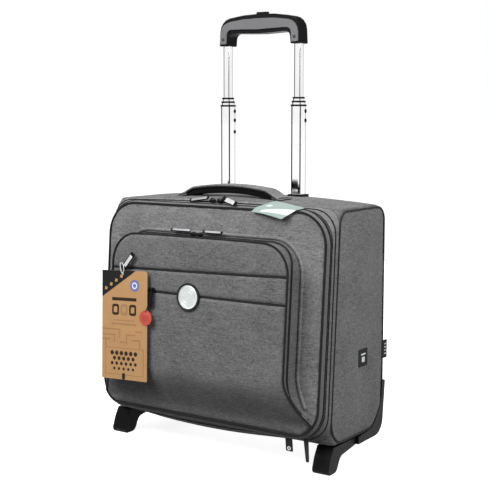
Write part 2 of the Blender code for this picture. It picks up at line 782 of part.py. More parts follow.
LID_HINGE = (0, LID_THICK - LEAN * (TOP_LINE_Z - LID_BOTTOM_Z), LID_BOTTOM_Z - 0.5 * MM)
POCKET_HINGE = tuple(on_lid(0, 0.4 * MM, 63 * MM))


def make_badge():
    place = (-7.8 * MM, 254.6 * MM)
    disc = arc(place, 20 * MM, 0, 360 * 23 / 24, 23)
    front = pocket_depth(*place) + 0.6 * MM
    badge = add_lid_piece("badge", prism([disc], -front - 2 * MM, -front, "XZ"), "white_metal")
    soften(badge, 0.6 * MM, 1)


# ---------------------------------------------------------------- carry handle, zips and tags


def make_carry_handle():
    """Padded strap sewn down at both ends over the front of the top."""
    reach, top_z, rise = 99 * MM, 421.5 * MM, 10 * MM
    rings = []
    for share in (-1, -0.93, -0.8, -0.5, -0.2, 0.2, 0.5, 0.8, 0.93, 1):
        x = reach * share
        end_drop = 7 * MM * smoothstep((abs(share) - 0.72) / 0.28)
        high = top_z - rise * share**2 - end_drop
        thick = 11 * MM - 7 * MM * smoothstep((abs(share) - 0.8) / 0.2)
        half = 15 * MM
        outline = rounded(
            [
                (42 * MM, high - thick, 1.5 * MM),
                (42 * MM + 2 * half, high - thick, 1.5 * MM),
                (42 * MM + 2 * half, high, 1.9 * MM),
                (42 * MM, high, 1.9 * MM),
            ],
            1,
        )
        rings.append([(x, y, z) for y, z in outline])
    add_piece("carry_handle", loft(rings), "heather")


def zip_plate(start, length, width, thick, direction):
    """A pull tab lying flat in XY from its pivot, along +X or -X."""
    reach = sorted((start.x, start.x + direction * length))
    outline = rectangle(reach[0], reach[1], start.y - width / 2, start.y + width / 2, 2 * MM, 2)
    return prism([outline], start.z - thick / 2, start.z + thick / 2, "XY")


def make_top_zips():
    """Two sliders nose to nose on the main zip, and two on the pocket zip, each with its pull tab."""
    for side, label in ((-1, "left"), (1, "right")):
        centre = Vector((-1 * MM + side * 7 * MM, 12.5 * MM, 398.4 * MM))
        slider = block(centre, (10 * MM, 9 * MM, 5.6 * MM))
        soften(add_piece("main_slider_" + label, slider, "black_plastic", centre), 1.2 * MM, 1)
        pivot = centre + Vector((side * 5.6 * MM, 0, 2.6 * MM))
        tab = zip_plate(pivot, (38 if side < 0 else 34) * MM, 6.5 * MM, 1.8 * MM, side)
        turned_about(tab, pivot, "Y", side * 8)
        if side > 0:
            turned_about(tab, pivot, "Z", -22)
        add_piece("main_puller_" + label, tab, "white_metal", pivot)

    for side, label in ((-1, "left"), (1, "right")):
        centre = on_lid((-18 + side * 6.2) * MM, 12 * MM, POCKET_TOP_Z + 2.9 * MM)
        slider = block(centre, (9 * MM, 8 * MM, 4.6 * MM))
        soften(add_piece("pocket_slider_" + label, slider, "black_plastic", centre), 1 * MM, 1)
        pivot = centre + Vector((side * 5.2 * MM, 0, 2.6 * MM))
        tab = zip_plate(pivot, 38 * MM, 6 * MM, 1.8 * MM, side)
        add_piece("pocket_puller_" + label, tab, "white_metal", pivot)


def face_plate(x0, x1, z0, z1, depth, thick, radius):
    """A small upright plate in front of the lid, drafted upright."""
    return prism([rectangle(x0, x1, z0, z1, radius, 2)], -depth - thick, -depth, "XZ")


def make_face_zips():
    """The two zips across the pocket's face: one slider and one pull tab each."""
    slider = face_plate(-142 * MM, -131.5 * MM, 285 * MM, 294 * MM, SLIDER_DEPTH, 3.8 * MM, 2.5 * MM)
    add_lid_piece("upper_slider", slider, "black_plastic", on_lid(-137 * MM, SLIDER_DEPTH, 289.5 * MM))
    pivot = Vector((-133.5 * MM, 0, 291 * MM))
    tab = face_plate(-137.2 * MM, -129.8 * MM, pivot.z, 320.5 * MM, PULL_DEPTH, 1.5 * MM, 3 * MM)
    turned_about(tab, pivot, "Y", 38)
    add_lid_piece("upper_puller", tab, "black_plastic", on_lid(pivot.x, PULL_DEPTH, pivot.z))

    slider = face_plate(-82.2 * MM, -73 * MM, 252 * MM, 264.5 * MM, SLIDER_DEPTH, 3.8 * MM, 2 * MM)
    add_lid_piece("lower_slider", slider, "black_plastic", on_lid(-78 * MM, SLIDER_DEPTH, 258 * MM))
    tab = face_plate(-84.6 * MM, -73.2 * MM, 233 * MM, 258 * MM, PULL_DEPTH, 1.2 * MM, 2 * MM)
    add_lid_piece("lower_puller", tab, "rubber", on_lid(-80 * MM, PULL_DEPTH, 255 * MM))


def make_tags():
    """Hang tags: a kraft board on the upper pull, a red disc on the lower pull and a card over the lid."""
    corners = [(-177, 286, 1), (-177, 114, 1), (-84.4, 114, 1), (-84.4, 286, 4)]
    hang = Vector((-130 * MM, 287 * MM))
    outline = []
    for x, z in rounded([(x * MM, z * MM, radius * MM) for x, z, radius in corners], 2):
        arm = Vector((x, z)) - hang
        arm.rotate(Matrix.Rotation(math.radians(KRAFT_TURN), 2))
        outline.append(tuple(hang + arm))
    board = prism([outline], -KRAFT_DEPTH - KRAFT_THICK, -KRAFT_DEPTH, "XZ")
    add_lid_piece("kraft_tag", board, "kraft", on_lid(-130 * MM, KRAFT_DEPTH, 287 * MM))

    disc = arc((-83.5 * MM, 216 * MM), 12 * MM, 0, 360 * 19 / 20, 19)
    add_lid_piece("red_tag", prism([disc], -RED_DEPTH - RED_THICK, -RED_DEPTH, "XZ"), "red_card")

    # The card rests on the frame behind the lid and bends down over the lid's top edge.
    corners = [(99, 25), (162, 6), (135, -14), (77, -6)]
    rings = []
    for share in (0, 0.2, 0.45, 0.7, 0.85, 1):
        left = Vector(corners[0]).lerp(Vector(corners[3]), share)
        right = Vector(corners[1]).lerp(Vector(corners[2]), share)
        ring = []
        for along, lift in ((0, 0), (0.5, 0), (1, 0), (1, 0.7), (0.5, 0.7), (0, 0.7)):
            x, y = left.lerp(right, along)
            ring.append((x * MM, y * MM, card_height(y) + lift * MM))
        rings.append(ring)
    add_piece("care_tag", loft(rings), "mint_card", (110 * MM, 24 * MM, 402 * MM))


def card_height(y):
    """Height of the card's underside, from drafting millimetres: it droops past the lid's edge."""
    return (400.5 - 0.36 * max(0, 25 - y) - 0.62 * max(0, -y)) * MM


# ---------------------------------------------------------------- build

clear_scene()
make_case_body()
make_labels()
for sign, word in ((-1, "left"), (1, "right")):
    make_guard(sign, "corner_guard_" + word)
    make_foot(sign, "skid_foot_" + word)
    make_wheel(sign, word)
make_stage_tubes()
make_handle_base()
make_grip()
make_lid()
make_badge()
make_carry_handle()
make_top_zips()
make_face_zips()
make_tags()
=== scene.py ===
"""Looks of the rolling laptop case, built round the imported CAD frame.

Fabric panels, pipings, zips, the carry handle, tags and linings are modelled here. Hard CAD pieces keep
their shape and get their materials, and a few get rounded edges. Everything is in metres in the CAD's frame.
The front faces -Y and leans back, so a point on it has x, its depth behind the front's plane, and z.
"""

import math

import bmesh
import bpy
import numpy as np
from mathutils import Matrix, Vector, noise


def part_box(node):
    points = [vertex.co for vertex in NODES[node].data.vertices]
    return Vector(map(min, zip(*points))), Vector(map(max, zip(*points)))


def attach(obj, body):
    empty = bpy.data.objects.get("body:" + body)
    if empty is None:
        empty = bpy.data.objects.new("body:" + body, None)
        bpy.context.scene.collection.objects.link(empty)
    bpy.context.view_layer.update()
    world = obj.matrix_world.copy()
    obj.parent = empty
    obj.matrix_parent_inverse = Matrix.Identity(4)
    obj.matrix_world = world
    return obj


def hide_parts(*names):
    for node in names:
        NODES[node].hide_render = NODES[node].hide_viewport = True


MM = 0.001
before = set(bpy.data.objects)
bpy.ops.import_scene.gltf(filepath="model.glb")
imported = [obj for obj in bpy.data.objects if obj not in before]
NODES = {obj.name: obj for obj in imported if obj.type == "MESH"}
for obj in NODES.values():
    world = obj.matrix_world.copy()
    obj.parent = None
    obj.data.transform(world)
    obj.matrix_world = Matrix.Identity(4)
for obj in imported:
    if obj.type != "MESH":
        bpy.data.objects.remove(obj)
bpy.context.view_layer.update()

# The case's own measures, read from the frame
LID_LOW, LID_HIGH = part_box("lid_panel")
LEAN = 0.0794
LEAN_DEPTH = 80 * MM
LID_HALF, TOP_LINE, LID_FOOT = LID_HIGH.x, LID_HIGH.z, LID_LOW.z
LID_TOP_RADIUS, LID_FOOT_RADIUS = 50 * MM, 42 * MM
BACK_DEPTH = 163 * MM
FRONT_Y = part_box("back_panel")[1].y - BACK_DEPTH
SIDE_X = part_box("side_panel_right")[1].x
SIDE_LOW, SIDE_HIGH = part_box("side_panel_right")
POCKET_LOW, POCKET_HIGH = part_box("pocket_panel")
POCKET_TOP = POCKET_HIGH.z + 0.03 * MM
POCKET_FOOT = POCKET_LOW.z
POCKET_HALF = 165 * MM
POCKET_CORNER = 45 * MM
POCKET_DEPTH = 36.5 * MM
POCKET_FLARE = 32 * MM
FLARE_TOP, FLARE_END = 152 * MM, 80 * MM
TUBE_Y = (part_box("tube_a_right")[0].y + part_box("tube_a_right")[1].y) / 2

UP = Vector((0, 0, 1))

scene = bpy.context.scene


# ---- material nodes


def add_node(tree, kind, properties=(), **inputs):
    """A new node. Inputs go by name, or by i and a number, and take a value or another node's socket."""
    made = tree.nodes.new(kind)
    for key, value in dict(properties).items():
        setattr(made, key, value)
    for key, value in inputs.items():
        numbered = key[0] == "i" and key[1:].isdigit()
        socket = made.inputs[int(key[1:]) if numbered else key.replace("_", " ")]
        if isinstance(value, bpy.types.NodeSocket):
            tree.links.new(value, socket)
        else:
            socket.default_value = value
    return made


class Paint:
    """A material and short calls to add nodes to it."""

    def __init__(self, name, roughness, metallic=0.0, **sockets):
        self.material = bpy.data.materials.new(name)
        self.material.use_nodes = True
        self.tree = self.material.node_tree
        self.shader = self.tree.nodes["Principled BSDF"]
        self.shader.inputs["Roughness"].default_value = roughness
        self.shader.inputs["Metallic"].default_value = metallic
        for socket, value in sockets.items():
            self.shader.inputs[socket.replace("_", " ")].default_value = value
        self.place = self.add("ShaderNodeTexCoord").outputs["Object"]

    def add(self, kind, properties=(), **inputs):
        return add_node(self.tree, kind, properties, **inputs)

    def stretched(self, scale, offset=(0, 0, 0)):
        """The object's coordinates multiplied by a scale for each axis."""
        made = self.add("ShaderNodeMapping", Vector=self.place, Scale=scale, Location=offset)
        return made.outputs["Vector"]

    def noise(self, scale, detail=2.0, offset=(0, 0, 0)):
        vector = self.stretched(scale if hasattr(scale, "__len__") else (scale,) * 3, offset)
        made = self.add("ShaderNodeTexNoise", Vector=vector, Scale=1.0, Detail=detail, Roughness=0.5)
        return made.outputs["Fac"]

    def math(self, operation, a, b=0.0):
        made = self.add("ShaderNodeMath", {"operation": operation}, i0=a, i1=b)
        return made.outputs[0]

    def ramp(self, value, stops):
        made = self.add("ShaderNodeValToRGB", Fac=value)
        elements = made.color_ramp.elements
        while len(elements) < len(stops):
            elements.new(0.5)
        for element, (position, colour) in zip(elements, stops):
            element.position = position
            element.color = (*colour, 1)
        return made.outputs["Color"]

    def mix(self, share, first, second):
        made = self.add("ShaderNodeMix", {"data_type": "RGBA"})
        for index, value in ((0, share), (6, first), (7, second)):
            if isinstance(value, bpy.types.NodeSocket):
                self.tree.links.new(value, made.inputs[index])
            else:
                made.inputs[index].default_value = value if index == 0 else (*value, 1)
        return made.outputs[2]

    def colour(self, value):
        self.tree.links.new(value, self.shader.inputs["Base Color"])

    def roughness(self, value, low, high):
        made = self.add("ShaderNodeMapRange", Value=value)
        made.inputs["To Min"].default_value = low
        made.inputs["To Max"].default_value = high
        self.tree.links.new(made.outputs[0], self.shader.inputs["Roughness"])

    def bump(self, height, distance, strength=1.0):
        made = self.add("ShaderNodeBump", Height=height, Distance=distance, Strength=strength)
        self.tree.links.new(made.outputs["Normal"], self.shader.inputs["Normal"])


def grey(value):
    """A grey with a touch of blue."""
    return (value, value, value + 0.012 * value)


def heather(name, dark, middle, light):
    """Melange weave: light and dark yarns crossing, slubs, a soft mottling, and the weave's own relief."""
    paint = Paint(name, 0.9, Sheen_Weight=0.08, Sheen_Roughness=0.5, Specular_IOR_Level=0.15)
    weft = paint.noise((170, 170, 1500), 1.5)
    warp = paint.noise((1500, 1500, 190), 1.5, (3, 1, 7))
    slub = paint.noise((60, 60, 520), 2.0, (11, 5, 2))
    drift = paint.noise((22, 22, 16), 3.0)
    yarn = paint.math("ADD", paint.math("MULTIPLY", weft, 0.36), paint.math("MULTIPLY", warp, 0.34))
    yarn = paint.math("ADD", yarn, paint.math("MULTIPLY", slub, 0.18))
    yarn = paint.math("ADD", yarn, paint.math("MULTIPLY", drift, 0.12))
    paint.colour(paint.ramp(yarn, [(0.37, grey(dark)), (0.5, grey(middle)), (0.64, grey(light))]))
    over = paint.add("ShaderNodeTexWave", {"bands_direction": "Z"}, Vector=paint.place, Scale=330.0)
    across = paint.add("ShaderNodeTexWave", {"bands_direction": "DIAGONAL"},
                       Vector=paint.stretched((1, 1, 0)), Scale=330.0)
    weave = paint.math("MULTIPLY", over.outputs["Fac"], across.outputs["Fac"])
    paint.bump(paint.math("ADD", weave, paint.math("MULTIPLY", warp, 0.6)), 0.25 * MM, 0.7)
    return paint.material


def webbing(name, value, pitch=420.0, gloss=0.2):
    """Ribbed narrow fabric for tapes and bindings."""
    paint = Paint(name, 0.85, Sheen_Weight=gloss * 0.2, Specular_IOR_Level=gloss)
    speck = paint.noise(900, 2.0)
    paint.colour(paint.ramp(speck, [(0.3, grey(value * 0.6)), (0.7, grey(value * 1.5))]))
    rib = paint.add("ShaderNodeTexWave", {"bands_direction": "DIAGONAL"}, Vector=paint.place, Scale=pitch)
    paint.bump(rib.outputs["Fac"], 0.15 * MM, 0.6)
    return paint.material


def moulded(name, colour, low, high, grain=1800.0, depth=0.03, gloss=0.14):
    """Plastic or rubber with a fine moulded grain and patchy gloss."""
    paint = Paint(name, low, Specular_IOR_Level=gloss)
    patch = paint.noise(35, 3.0)
    pale = tuple(min(1, c * 1.35 + 0.002) for c in colour)
    paint.colour(paint.mix(patch, colour, pale))
    paint.roughness(patch, low, high)
    paint.bump(paint.noise(grain, 2.0), depth * MM, 0.6)
    return paint.material


def drawn_metal(name, colour, low, high, streak=(2200, 2200, 12)):
    """Metal with fine drawn lines along the piece."""
    paint = Paint(name, low, 1.0)
    line = paint.noise(streak, 2.0)
    patch = paint.noise(30, 2.0)
    paint.colour(paint.ramp(patch, [(0.3, tuple(c * 0.93 for c in colour)), (0.7, colour)]))
    paint.roughness(line, low, high)
    paint.bump(line, 0.02 * MM, 0.25)
    return paint.material


def card(name, colour, fibre, roughness=0.8, **sockets):
    """Board or printed card with paper fibres."""
    paint = Paint(name, roughness, **sockets)
    fleck = paint.noise((700, 700, 240), 3.0)
    cloud = paint.noise(45, 2.0)
    shade = tuple(c * (1 - fibre) for c in colour)
    paint.colour(paint.mix(paint.math("MULTIPLY", fleck, cloud), colour, shade))
    paint.bump(fleck, 0.04 * MM, 0.5)
    return paint.material


M = {
    "heather": heather("heather_fabric", 0.062, 0.150, 0.255),
    # A darker copy of the heather: painted shade, used on the pocket's face and on the top
    "pocket": heather("heather_painted_shade", 0.047, 0.113, 0.195),
    # A darker copy of the heather for the gusset: painted shade in the recess beside the pocket
    "gusset": heather("gusset_fabric_painted_shade", 0.045, 0.105, 0.18),
    "lining": heather("lining_fabric", 0.012, 0.022, 0.04),
    "tape": webbing("zip_tape", 0.12),
    "binding": webbing("black_binding", 0.005, 600.0),
    "padding": webbing("handle_padding", 0.0015, 380.0, 0.1),
    "black": moulded("black_plastic", (0.0025, 0.0025, 0.003), 0.3, 0.5, gloss=0.06),
    "tooth": moulded("zip_teeth", (0.008, 0.008, 0.009), 0.4, 0.55),
    "satin": moulded("grip_insert", (0.115, 0.115, 0.12), 0.3, 0.4, 2600.0, 0.015),
    "hub": moulded("wheel_hub", (0.12, 0.12, 0.125), 0.35, 0.5),
    "rubber": moulded("tyre_rubber", (0.016, 0.016, 0.016), 0.6, 0.8, 900.0, 0.08),
    "tube": drawn_metal("tube_aluminium", (0.93, 0.93, 0.94), 0.06, 0.13),
    "steel": drawn_metal("steel", (0.56, 0.57, 0.58), 0.25, 0.4, (900, 900, 900)),
    "nickel": drawn_metal("satin_nickel", (0.58, 0.58, 0.595), 0.26, 0.38, (60, 1500, 1500)),
    "badge": drawn_metal("badge_metal", (0.50, 0.53, 0.52), 0.34, 0.46, (1500, 1500, 60)),
    "kraft": card("kraft_board", (0.42, 0.232, 0.090), 0.35),
    "ink": card("dark_ink", (0.022, 0.012, 0.008), 0.3, 0.7, Specular_IOR_Level=0.15),
    "black_ink": card("black_ink", (0.003, 0.003, 0.003), 0.2, 0.6, Specular_IOR_Level=0.15),
    "brown_ink": card("brown_ink", (0.30, 0.15, 0.055), 0.3, 0.7),
    "blue_ink": card("blue_ink", (0.10, 0.13, 0.36), 0.4, 0.5),
    "pale_ink": card("pale_ink", (0.62, 0.66, 0.72), 0.2, 0.5),
    "red": card("red_card", (0.44, 0.043, 0.024), 0.2, 0.5),
    "dark_red": card("dark_red_ink", (0.20, 0.02, 0.015), 0.2, 0.6),
    "mint": card("mint_card", (0.25, 0.32, 0.30), 0.2, 0.35),
    # White for the printed label marks, and also for the painted highlight band on the care tag
    "white": card("white_print_and_painted_highlight", (0.62, 0.66, 0.65), 0.1, 0.4),
    "string": webbing("tag_string", 0.5, 900.0),
}


# ---- shapes


def leaned(depth, z):
    """World y of a depth behind the front's plane: the front leans, the rear is upright."""
    return FRONT_Y + depth - LEAN * (TOP_LINE - z) * max(0.0, 1 - max(depth, 0) / LEAN_DEPTH)


def at(x, depth, z):
    return Vector((x, leaned(depth, z), z))


def smoothstep(value):
    value = min(max(value, 0.0), 1.0)
    return value * value * (3 - 2 * value)


def new_piece(name, mesh, paint, body, node=None, slot=None):
    """A piece that rides with a body. It may stand for a CAD node, and its slot follows from its paint; the
    slot argument is not used.
    """
    mesh.name = name
    mesh.materials.clear()
    mesh.materials.append(M[paint])
    piece = bpy.data.objects.new(name, mesh)
    scene.collection.objects.link(piece)
    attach(piece, body)
    if node:
        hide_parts(node)
    return piece


def smooth(mesh, degrees=35):
    mesh.shade_smooth()
    mesh.set_sharp_from_angle(angle=math.radians(degrees))


def mesh_from(points, faces, degrees=35):
    mesh = bpy.data.meshes.new("mesh")
    mesh.from_pydata([tuple(p) for p in points], [], faces)
    bm = bmesh.new()
    bm.from_mesh(mesh)
    bmesh.ops.recalc_face_normals(bm, faces=bm.faces)
    bm.to_mesh(mesh)
    bm.free()
    smooth(mesh, degrees)
    return mesh


def grid_faces(rows, columns, closed=False, keep=None):
    """Quads between rows of points that are stored one row after another."""
    faces = []
    for r in range(rows - 1):
        for c in range(columns if closed else columns - 1):
            d = (c + 1) % columns
            if keep is None or keep(r, c):
                a = r * columns
                faces.append((a + c, a + d, a + columns + d, a + columns + c))
    return faces


def frames_along(path, closed, up):
    """Tangent, side and up vectors at each point of a path, square to each other."""
    found = []
    count = len(path)
    for i in range(count):
        before = path[i - 1] if closed or i else path[0]
        after = path[(i + 1) % count] if closed or i < count - 1 else path[-1]
        along = (after - before).normalized()
        reference = up[i] if isinstance(up, list) else up
        side = along.cross(reference).normalized()
        found.append((along, side, side.cross(along).normalized()))
    return found


def sweep(name, path, sections, paint, body, up, closed=False, degrees=40, **marks):
    """A solid along a path, with one section or one for each point. Sections hold (side, up) offsets."""
    path = [Vector(p) for p in path]
    if not isinstance(sections[0], list):
        sections = [sections] * len(path)
    points = []
    for place, (_, side, rise), section in zip(path, frames_along(path, closed, up), sections):
        points += [place + side * a + rise * b for a, b in section]
    size, count = len(sections[0]), len(path)
    faces = grid_faces(count, size, closed=True)
    if closed:
        last = (count - 1) * size
        faces += [(last + i, last + (i + 1) % size, (i + 1) % size, i) for i in range(size)]
    else:
        faces += [tuple(range(size)), tuple((count - 1) * size + i for i in range(size))]
    return new_piece(name, mesh_from(points, faces, degrees), paint, body, **marks)


def circle(radius, sides=8):
    turns = [2 * math.pi * i / sides for i in range(sides)]
    return [(radius * math.cos(t), radius * math.sin(t)) for t in turns]


def moved(section, a, b):
    return [(p + a, q + b) for p, q in section]


def rounded_box(width, height, radius, steps=4):
    """Section of a bar: width along the side axis, height along the up axis."""
    outline = []
    for su, sv, start in ((1, 1, 0), (-1, 1, 90), (-1, -1, 180), (1, -1, 270)):
        for i in range(steps + 1):
            turn = math.radians(start + 90 * i / steps)
            u, v = radius * math.cos(turn), radius * math.sin(turn)
            outline.append((su * (width / 2 - radius) + u, sv * (height / 2 - radius) + v))
    return outline


def even(points, spacing, closed=False):
    """Points at an even spacing along a polyline."""
    line = [Vector(p) for p in points] + ([Vector(points[0])] if closed else [])
    lengths = np.cumsum([0.0] + [(b - a).length for a, b in zip(line, line[1:])])
    count = max(2, int(round(lengths[-1] / spacing)))
    marks = np.linspace(0, lengths[-1], count + 1)[: count if closed else count + 1]
    array = np.array([tuple(p) for p in line])
    return [Vector([float(np.interp(m, lengths, array[:, k])) for k in range(3)]) for m in marks]


def corner_arc(cx, cz, radius, start, end, steps=14):
    turns = [math.radians(start + (end - start) * i / steps) for i in range(steps + 1)]
    return [(cx + radius * math.cos(t), cz + radius * math.sin(t)) for t in turns]


def ring(half, top, top_radius, foot, foot_radius, crown=0.0, depth=0.0):
    """Closed outline round the case at a depth, from the middle of the foot up the right side and round."""
    right = [(half * share, foot) for share in (0, 0.15, 0.3, 0.45, 0.6)]
    right += corner_arc(half - foot_radius, foot + foot_radius, foot_radius, -90, 0)
    right += corner_arc(half - top_radius, top - top_radius, top_radius, 0, 90)
    right += [(half * share, top) for share in (0.6, 0.45, 0.3, 0.15, 0.0)]
    lift = top - top_radius * 1.2
    right = [(x, z + crown * (1 - (x / half) ** 2) * smoothstep((z - lift) / (top - lift))) for x, z in right]
    outline = right + [(-x, z) for x, z in reversed(right[1:-1])]
    return [at(x, depth, z) for x, z in outline]


# Depth, half width, top, top corner radius, foot, foot corner radius, crown, all in millimetres
STATIONS = (
    (0.0, 205.0, 388.5, 50, 60.5, 42, 0),
    (8.5, 209.5, 389.0, 46, 58.0, 42, 2),
    (22.5, 212.2, 392.5, 26, 48.0, 34, 6),
    (27.0, 212.5, 393.0, 12, 43.5, 16, 7),
    (33.0, 212.5, 393.0, 5, 41.0, 6, 8),
    (60.0, 212.5, 393.0, 4, 40.0, 4, 9),
)


def station(depth):
    """The case's cross-section at a depth: half width, top, corner radii, foot and crown."""
    table = np.array(STATIONS) * MM
    return [float(np.interp(depth, table[:, 0], table[:, k])) for k in range(1, 7)]


def foot_sag(depth):
    """How far the fabric under the lid hangs down at a depth."""
    return 8 * MM * smoothstep((depth - 6 * MM) / (12 * MM)) * (1 - smoothstep((depth - 35 * MM) / (90 * MM)))


def sag_share(x):
    """The sag lies left of the middle."""
    return max(0, 1 - ((x + 20 * MM) / (150 * MM)) ** 2)


def case_ring(depth, grow=0.0, spacing=5 * MM):
    half, top, top_radius, foot, foot_radius, crown = station(depth)
    outline = ring(half + grow, top + grow, top_radius + grow, foot - grow, foot_radius + grow, crown, depth)
    slack = foot_sag(depth)
    return even([p - Vector((0, 0, slack * sag_share(p.x) * (p.z < foot + 6 * MM))) for p in outline],
                spacing, True)


def resampled(points, count):
    """A closed outline as this many evenly spaced points."""
    length = sum((b - a).length for a, b in zip(points, points[1:] + points[:1]))
    return even(points, length / count, True)


# ---- pads and cloth

PADS = []


def padded(name, pairs, paint, body, fill, cap, lining=None, **marks):
    """A closed pad from a grid of (front, back) points, sewn down but for its front, which can swell."""
    rows, columns = len(pairs), len(pairs[0])
    points = [pair[side] for side in (0, 1) for row in pairs for pair in row]
    shift = rows * columns
    faces = grid_faces(rows, columns)
    behind = [tuple(i + shift for i in reversed(face)) for face in faces]
    rim = [(0, c) for c in range(columns)] + [(r, columns - 1) for r in range(1, rows)]
    rim += [(rows - 1, c) for c in range(columns - 2, -1, -1)] + [(r, 0) for r in range(rows - 2, 0, -1)]
    rim = [r * columns + c for r, c in rim]
    sides = [(a, b, b + shift, a + shift) for a, b in zip(rim, rim[1:] + rim[:1])]
    piece = new_piece(name, mesh_from(points, faces + behind + sides, 60), paint, body, **marks)
    if lining:
        piece.data.materials.append(M[lining])
        for polygon in piece.data.polygons[len(faces) : len(faces) + len(behind)]:
            polygon.material_index = 1
    sewn = piece.vertex_groups.new(name="sewn")
    inner = {r * columns + c for r in range(2, rows - 2) for c in range(2, columns - 2)}
    sewn.add([i for i in range(len(points)) if i not in inner], 1.0, "REPLACE")
    PADS.append((piece, cap))
    return piece


def swell_pads():
    """Swells every pad a little in one cloth simulation, then keeps the shapes and drops the modifiers."""
    for piece, _ in PADS:
        cloth = piece.modifiers.new("cloth", "CLOTH")
        settings = cloth.settings
        settings.quality = 5
        settings.mass = 0.25
        settings.tension_stiffness = settings.compression_stiffness = 12
        settings.shear_stiffness = 5
        settings.bending_stiffness = 0.4
        settings.use_pressure = True
        settings.uniform_pressure_force = 3
        settings.shrink_min = -0.012
        settings.vertex_group_mass = "sewn"
        settings.effector_weights.gravity = 0
        cloth.collision_settings.use_collision = False
        cloth.point_cache.frame_start, cloth.point_cache.frame_end = 1, 20
    for step in range(1, 21):
        scene.frame_set(step)
    graph = bpy.context.evaluated_depsgraph_get()
    for piece, cap in PADS:
        swollen = piece.evaluated_get(graph).data
        count = len(piece.data.vertices)
        rest, moved = np.zeros(count * 3), np.zeros(count * 3)
        piece.data.vertices.foreach_get("co", rest)
        swollen.vertices.foreach_get("co", moved)
        step = (moved - rest).reshape(-1, 3)
        length = np.maximum(np.linalg.norm(step, axis=1), 1e-9)
        step *= (cap * np.tanh(length / cap) / length)[:, None]
        piece.modifiers.clear()
        piece.data.vertices.foreach_set("co", (rest.reshape(-1, 3) + step).ravel())
        piece.data.update()
    scene.frame_set(1)
    for piece, _ in PADS:
        fine = piece.modifiers.new("fine", "SUBSURF")
        fine.levels = fine.render_levels = 1


def spread(low, high, count, near=(0.0, 0.8 * MM, 2.2 * MM, 4.2 * MM)):
    """Values from low to high, closer together near both ends, with count of them between."""
    inner = np.linspace(low + near[-1], high - near[-1], count)
    return [low + n for n in near[:-1]] + [float(v) for v in inner] + [high - n for n in reversed(near[:-1])]


def rounded_half(z, low, high, half, low_radius, high_radius):
    """Half width at a height of an upright panel with round corners."""
    if z > high - high_radius:
        rise = min(z - (high - high_radius), high_radius)
        return half - high_radius + math.sqrt(high_radius**2 - rise**2)
    if z < low + low_radius:
        drop = min(low + low_radius - z, low_radius)
        return half - low_radius + math.sqrt(low_radius**2 - drop**2)
    return half


def rounded(corners, steps=5):
    """Closed outline through (u, v, radius) corners, each rounded by an arc."""
    points = []
    for i, (u, v, radius) in enumerate(corners):
        here = Vector((u, v))
        if radius == 0:
            points.append((u, v))
            continue
        to_last = (Vector(corners[i - 1][:2]) - here).normalized()
        to_next = (Vector(corners[(i + 1) % len(corners)][:2]) - here).normalized()
        half = to_last.angle(to_next) / 2
        centre = here + (to_last + to_next).normalized() * (radius / math.sin(half))
        first = (here + to_last * (radius / math.tan(half)) - centre).normalized()
        last = (here + to_next * (radius / math.tan(half)) - centre).normalized()
        points += [tuple(centre + first.slerp(last, k / steps, first) * radius) for k in range(steps + 1)]
    return points


def box_outline(u0, u1, v0, v1, radius=0.0):
    return rounded([(u0, v0, radius), (u1, v0, radius), (u1, v1, radius), (u0, v1, radius)])


def disc(u, v, radius, sides=32):
    return moved(circle(radius, sides), u, v)


def slab(name, outline, low, high, where, paint, body, edge=0.0, **marks):
    """A flat outline between two heights, placed by a function of (u, v, w), with its edges rounded."""
    count = len(outline)
    points = [where(u, v, w) for w in (low, high) for u, v in outline]
    faces = [tuple(range(count)), tuple(range(2 * count - 1, count - 1, -1))]
    faces += [(i, (i + 1) % count, (i + 1) % count + count, i + count) for i in range(count)]
    piece = new_piece(name, mesh_from(points, faces), paint, body, **marks)
    if edge:
        round_edges(piece, edge)
    return piece


def round_edges(piece, width, segments=3):
    bevel = piece.modifiers.new("round", "BEVEL")
    bevel.width = width
    bevel.segments = segments
    bevel.limit_method = "ANGLE"
    bevel.angle_limit = math.radians(38)


def turned(name, profile, centre, axis, paint, body, steps=40, **marks):
    """A profile of (radius, height) points in millimetres, turned about an axis through a centre."""
    profile = [(r * MM, h * MM) for r, h in profile]
    turn = Vector(axis).to_track_quat("Z", "Y").to_matrix()
    points = []
    for i in range(steps):
        t = 2 * math.pi * i / steps
        points += [Vector(centre) + turn @ Vector((r * math.cos(t), r * math.sin(t), h)) for r, h in profile]
    size = len(profile)
    faces = grid_faces(steps, size)
    last = (steps - 1) * size
    faces += [(last + i, last + i + 1, i + 1, i) for i in range(size - 1)]
    piece = new_piece(name, mesh_from(points, faces, 30), paint, body, **marks)
    weld = piece.modifiers.new("weld", "WELD")
    weld.merge_threshold = 1e-6
    return piece


def skin(name, rows, inside, paint, body, thick, keep=None, closed=False, **marks):
    """A foam-backed fabric panel: a sheet through rows of points, thickened inwards and lined."""
    count = len(rows[0])
    points = [p for row in rows for p in row]
    mesh = mesh_from(points, grid_faces(len(rows), count, closed=closed, keep=keep), 50)
    facing = sum(f.normal.dot(f.center - Vector(inside)) for f in mesh.polygons)
    if facing < 0:
        mesh.flip_normals()
    piece = new_piece(name, mesh, paint, body, **marks)
    piece.data.materials.append(M["lining"])
    shell = piece.modifiers.new("foam", "SOLIDIFY")
    shell.thickness = thick
    shell.offset = -1
    shell.material_offset = 1
    shell.use_even_offset = True
    fine = piece.modifiers.new("fine", "SUBSURF")
    fine.levels = fine.render_levels = 1
    return piece


def wander(x, y, z, scale, height):
    """Small soft unevenness of stretched fabric."""
    return height * noise.noise(Vector((x, y, z)) * scale)


# ---- places on the case


def on_front(u, v, w):
    """On a plane w in front of the lid's face."""
    return at(u, -w, v)


def on_side(u, v, w):
    return Vector((w, u, v))


def on_level(u, v, w):
    return Vector((u, v, w))


def middle(node):
    low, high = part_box(node)
    return (low + high) / 2


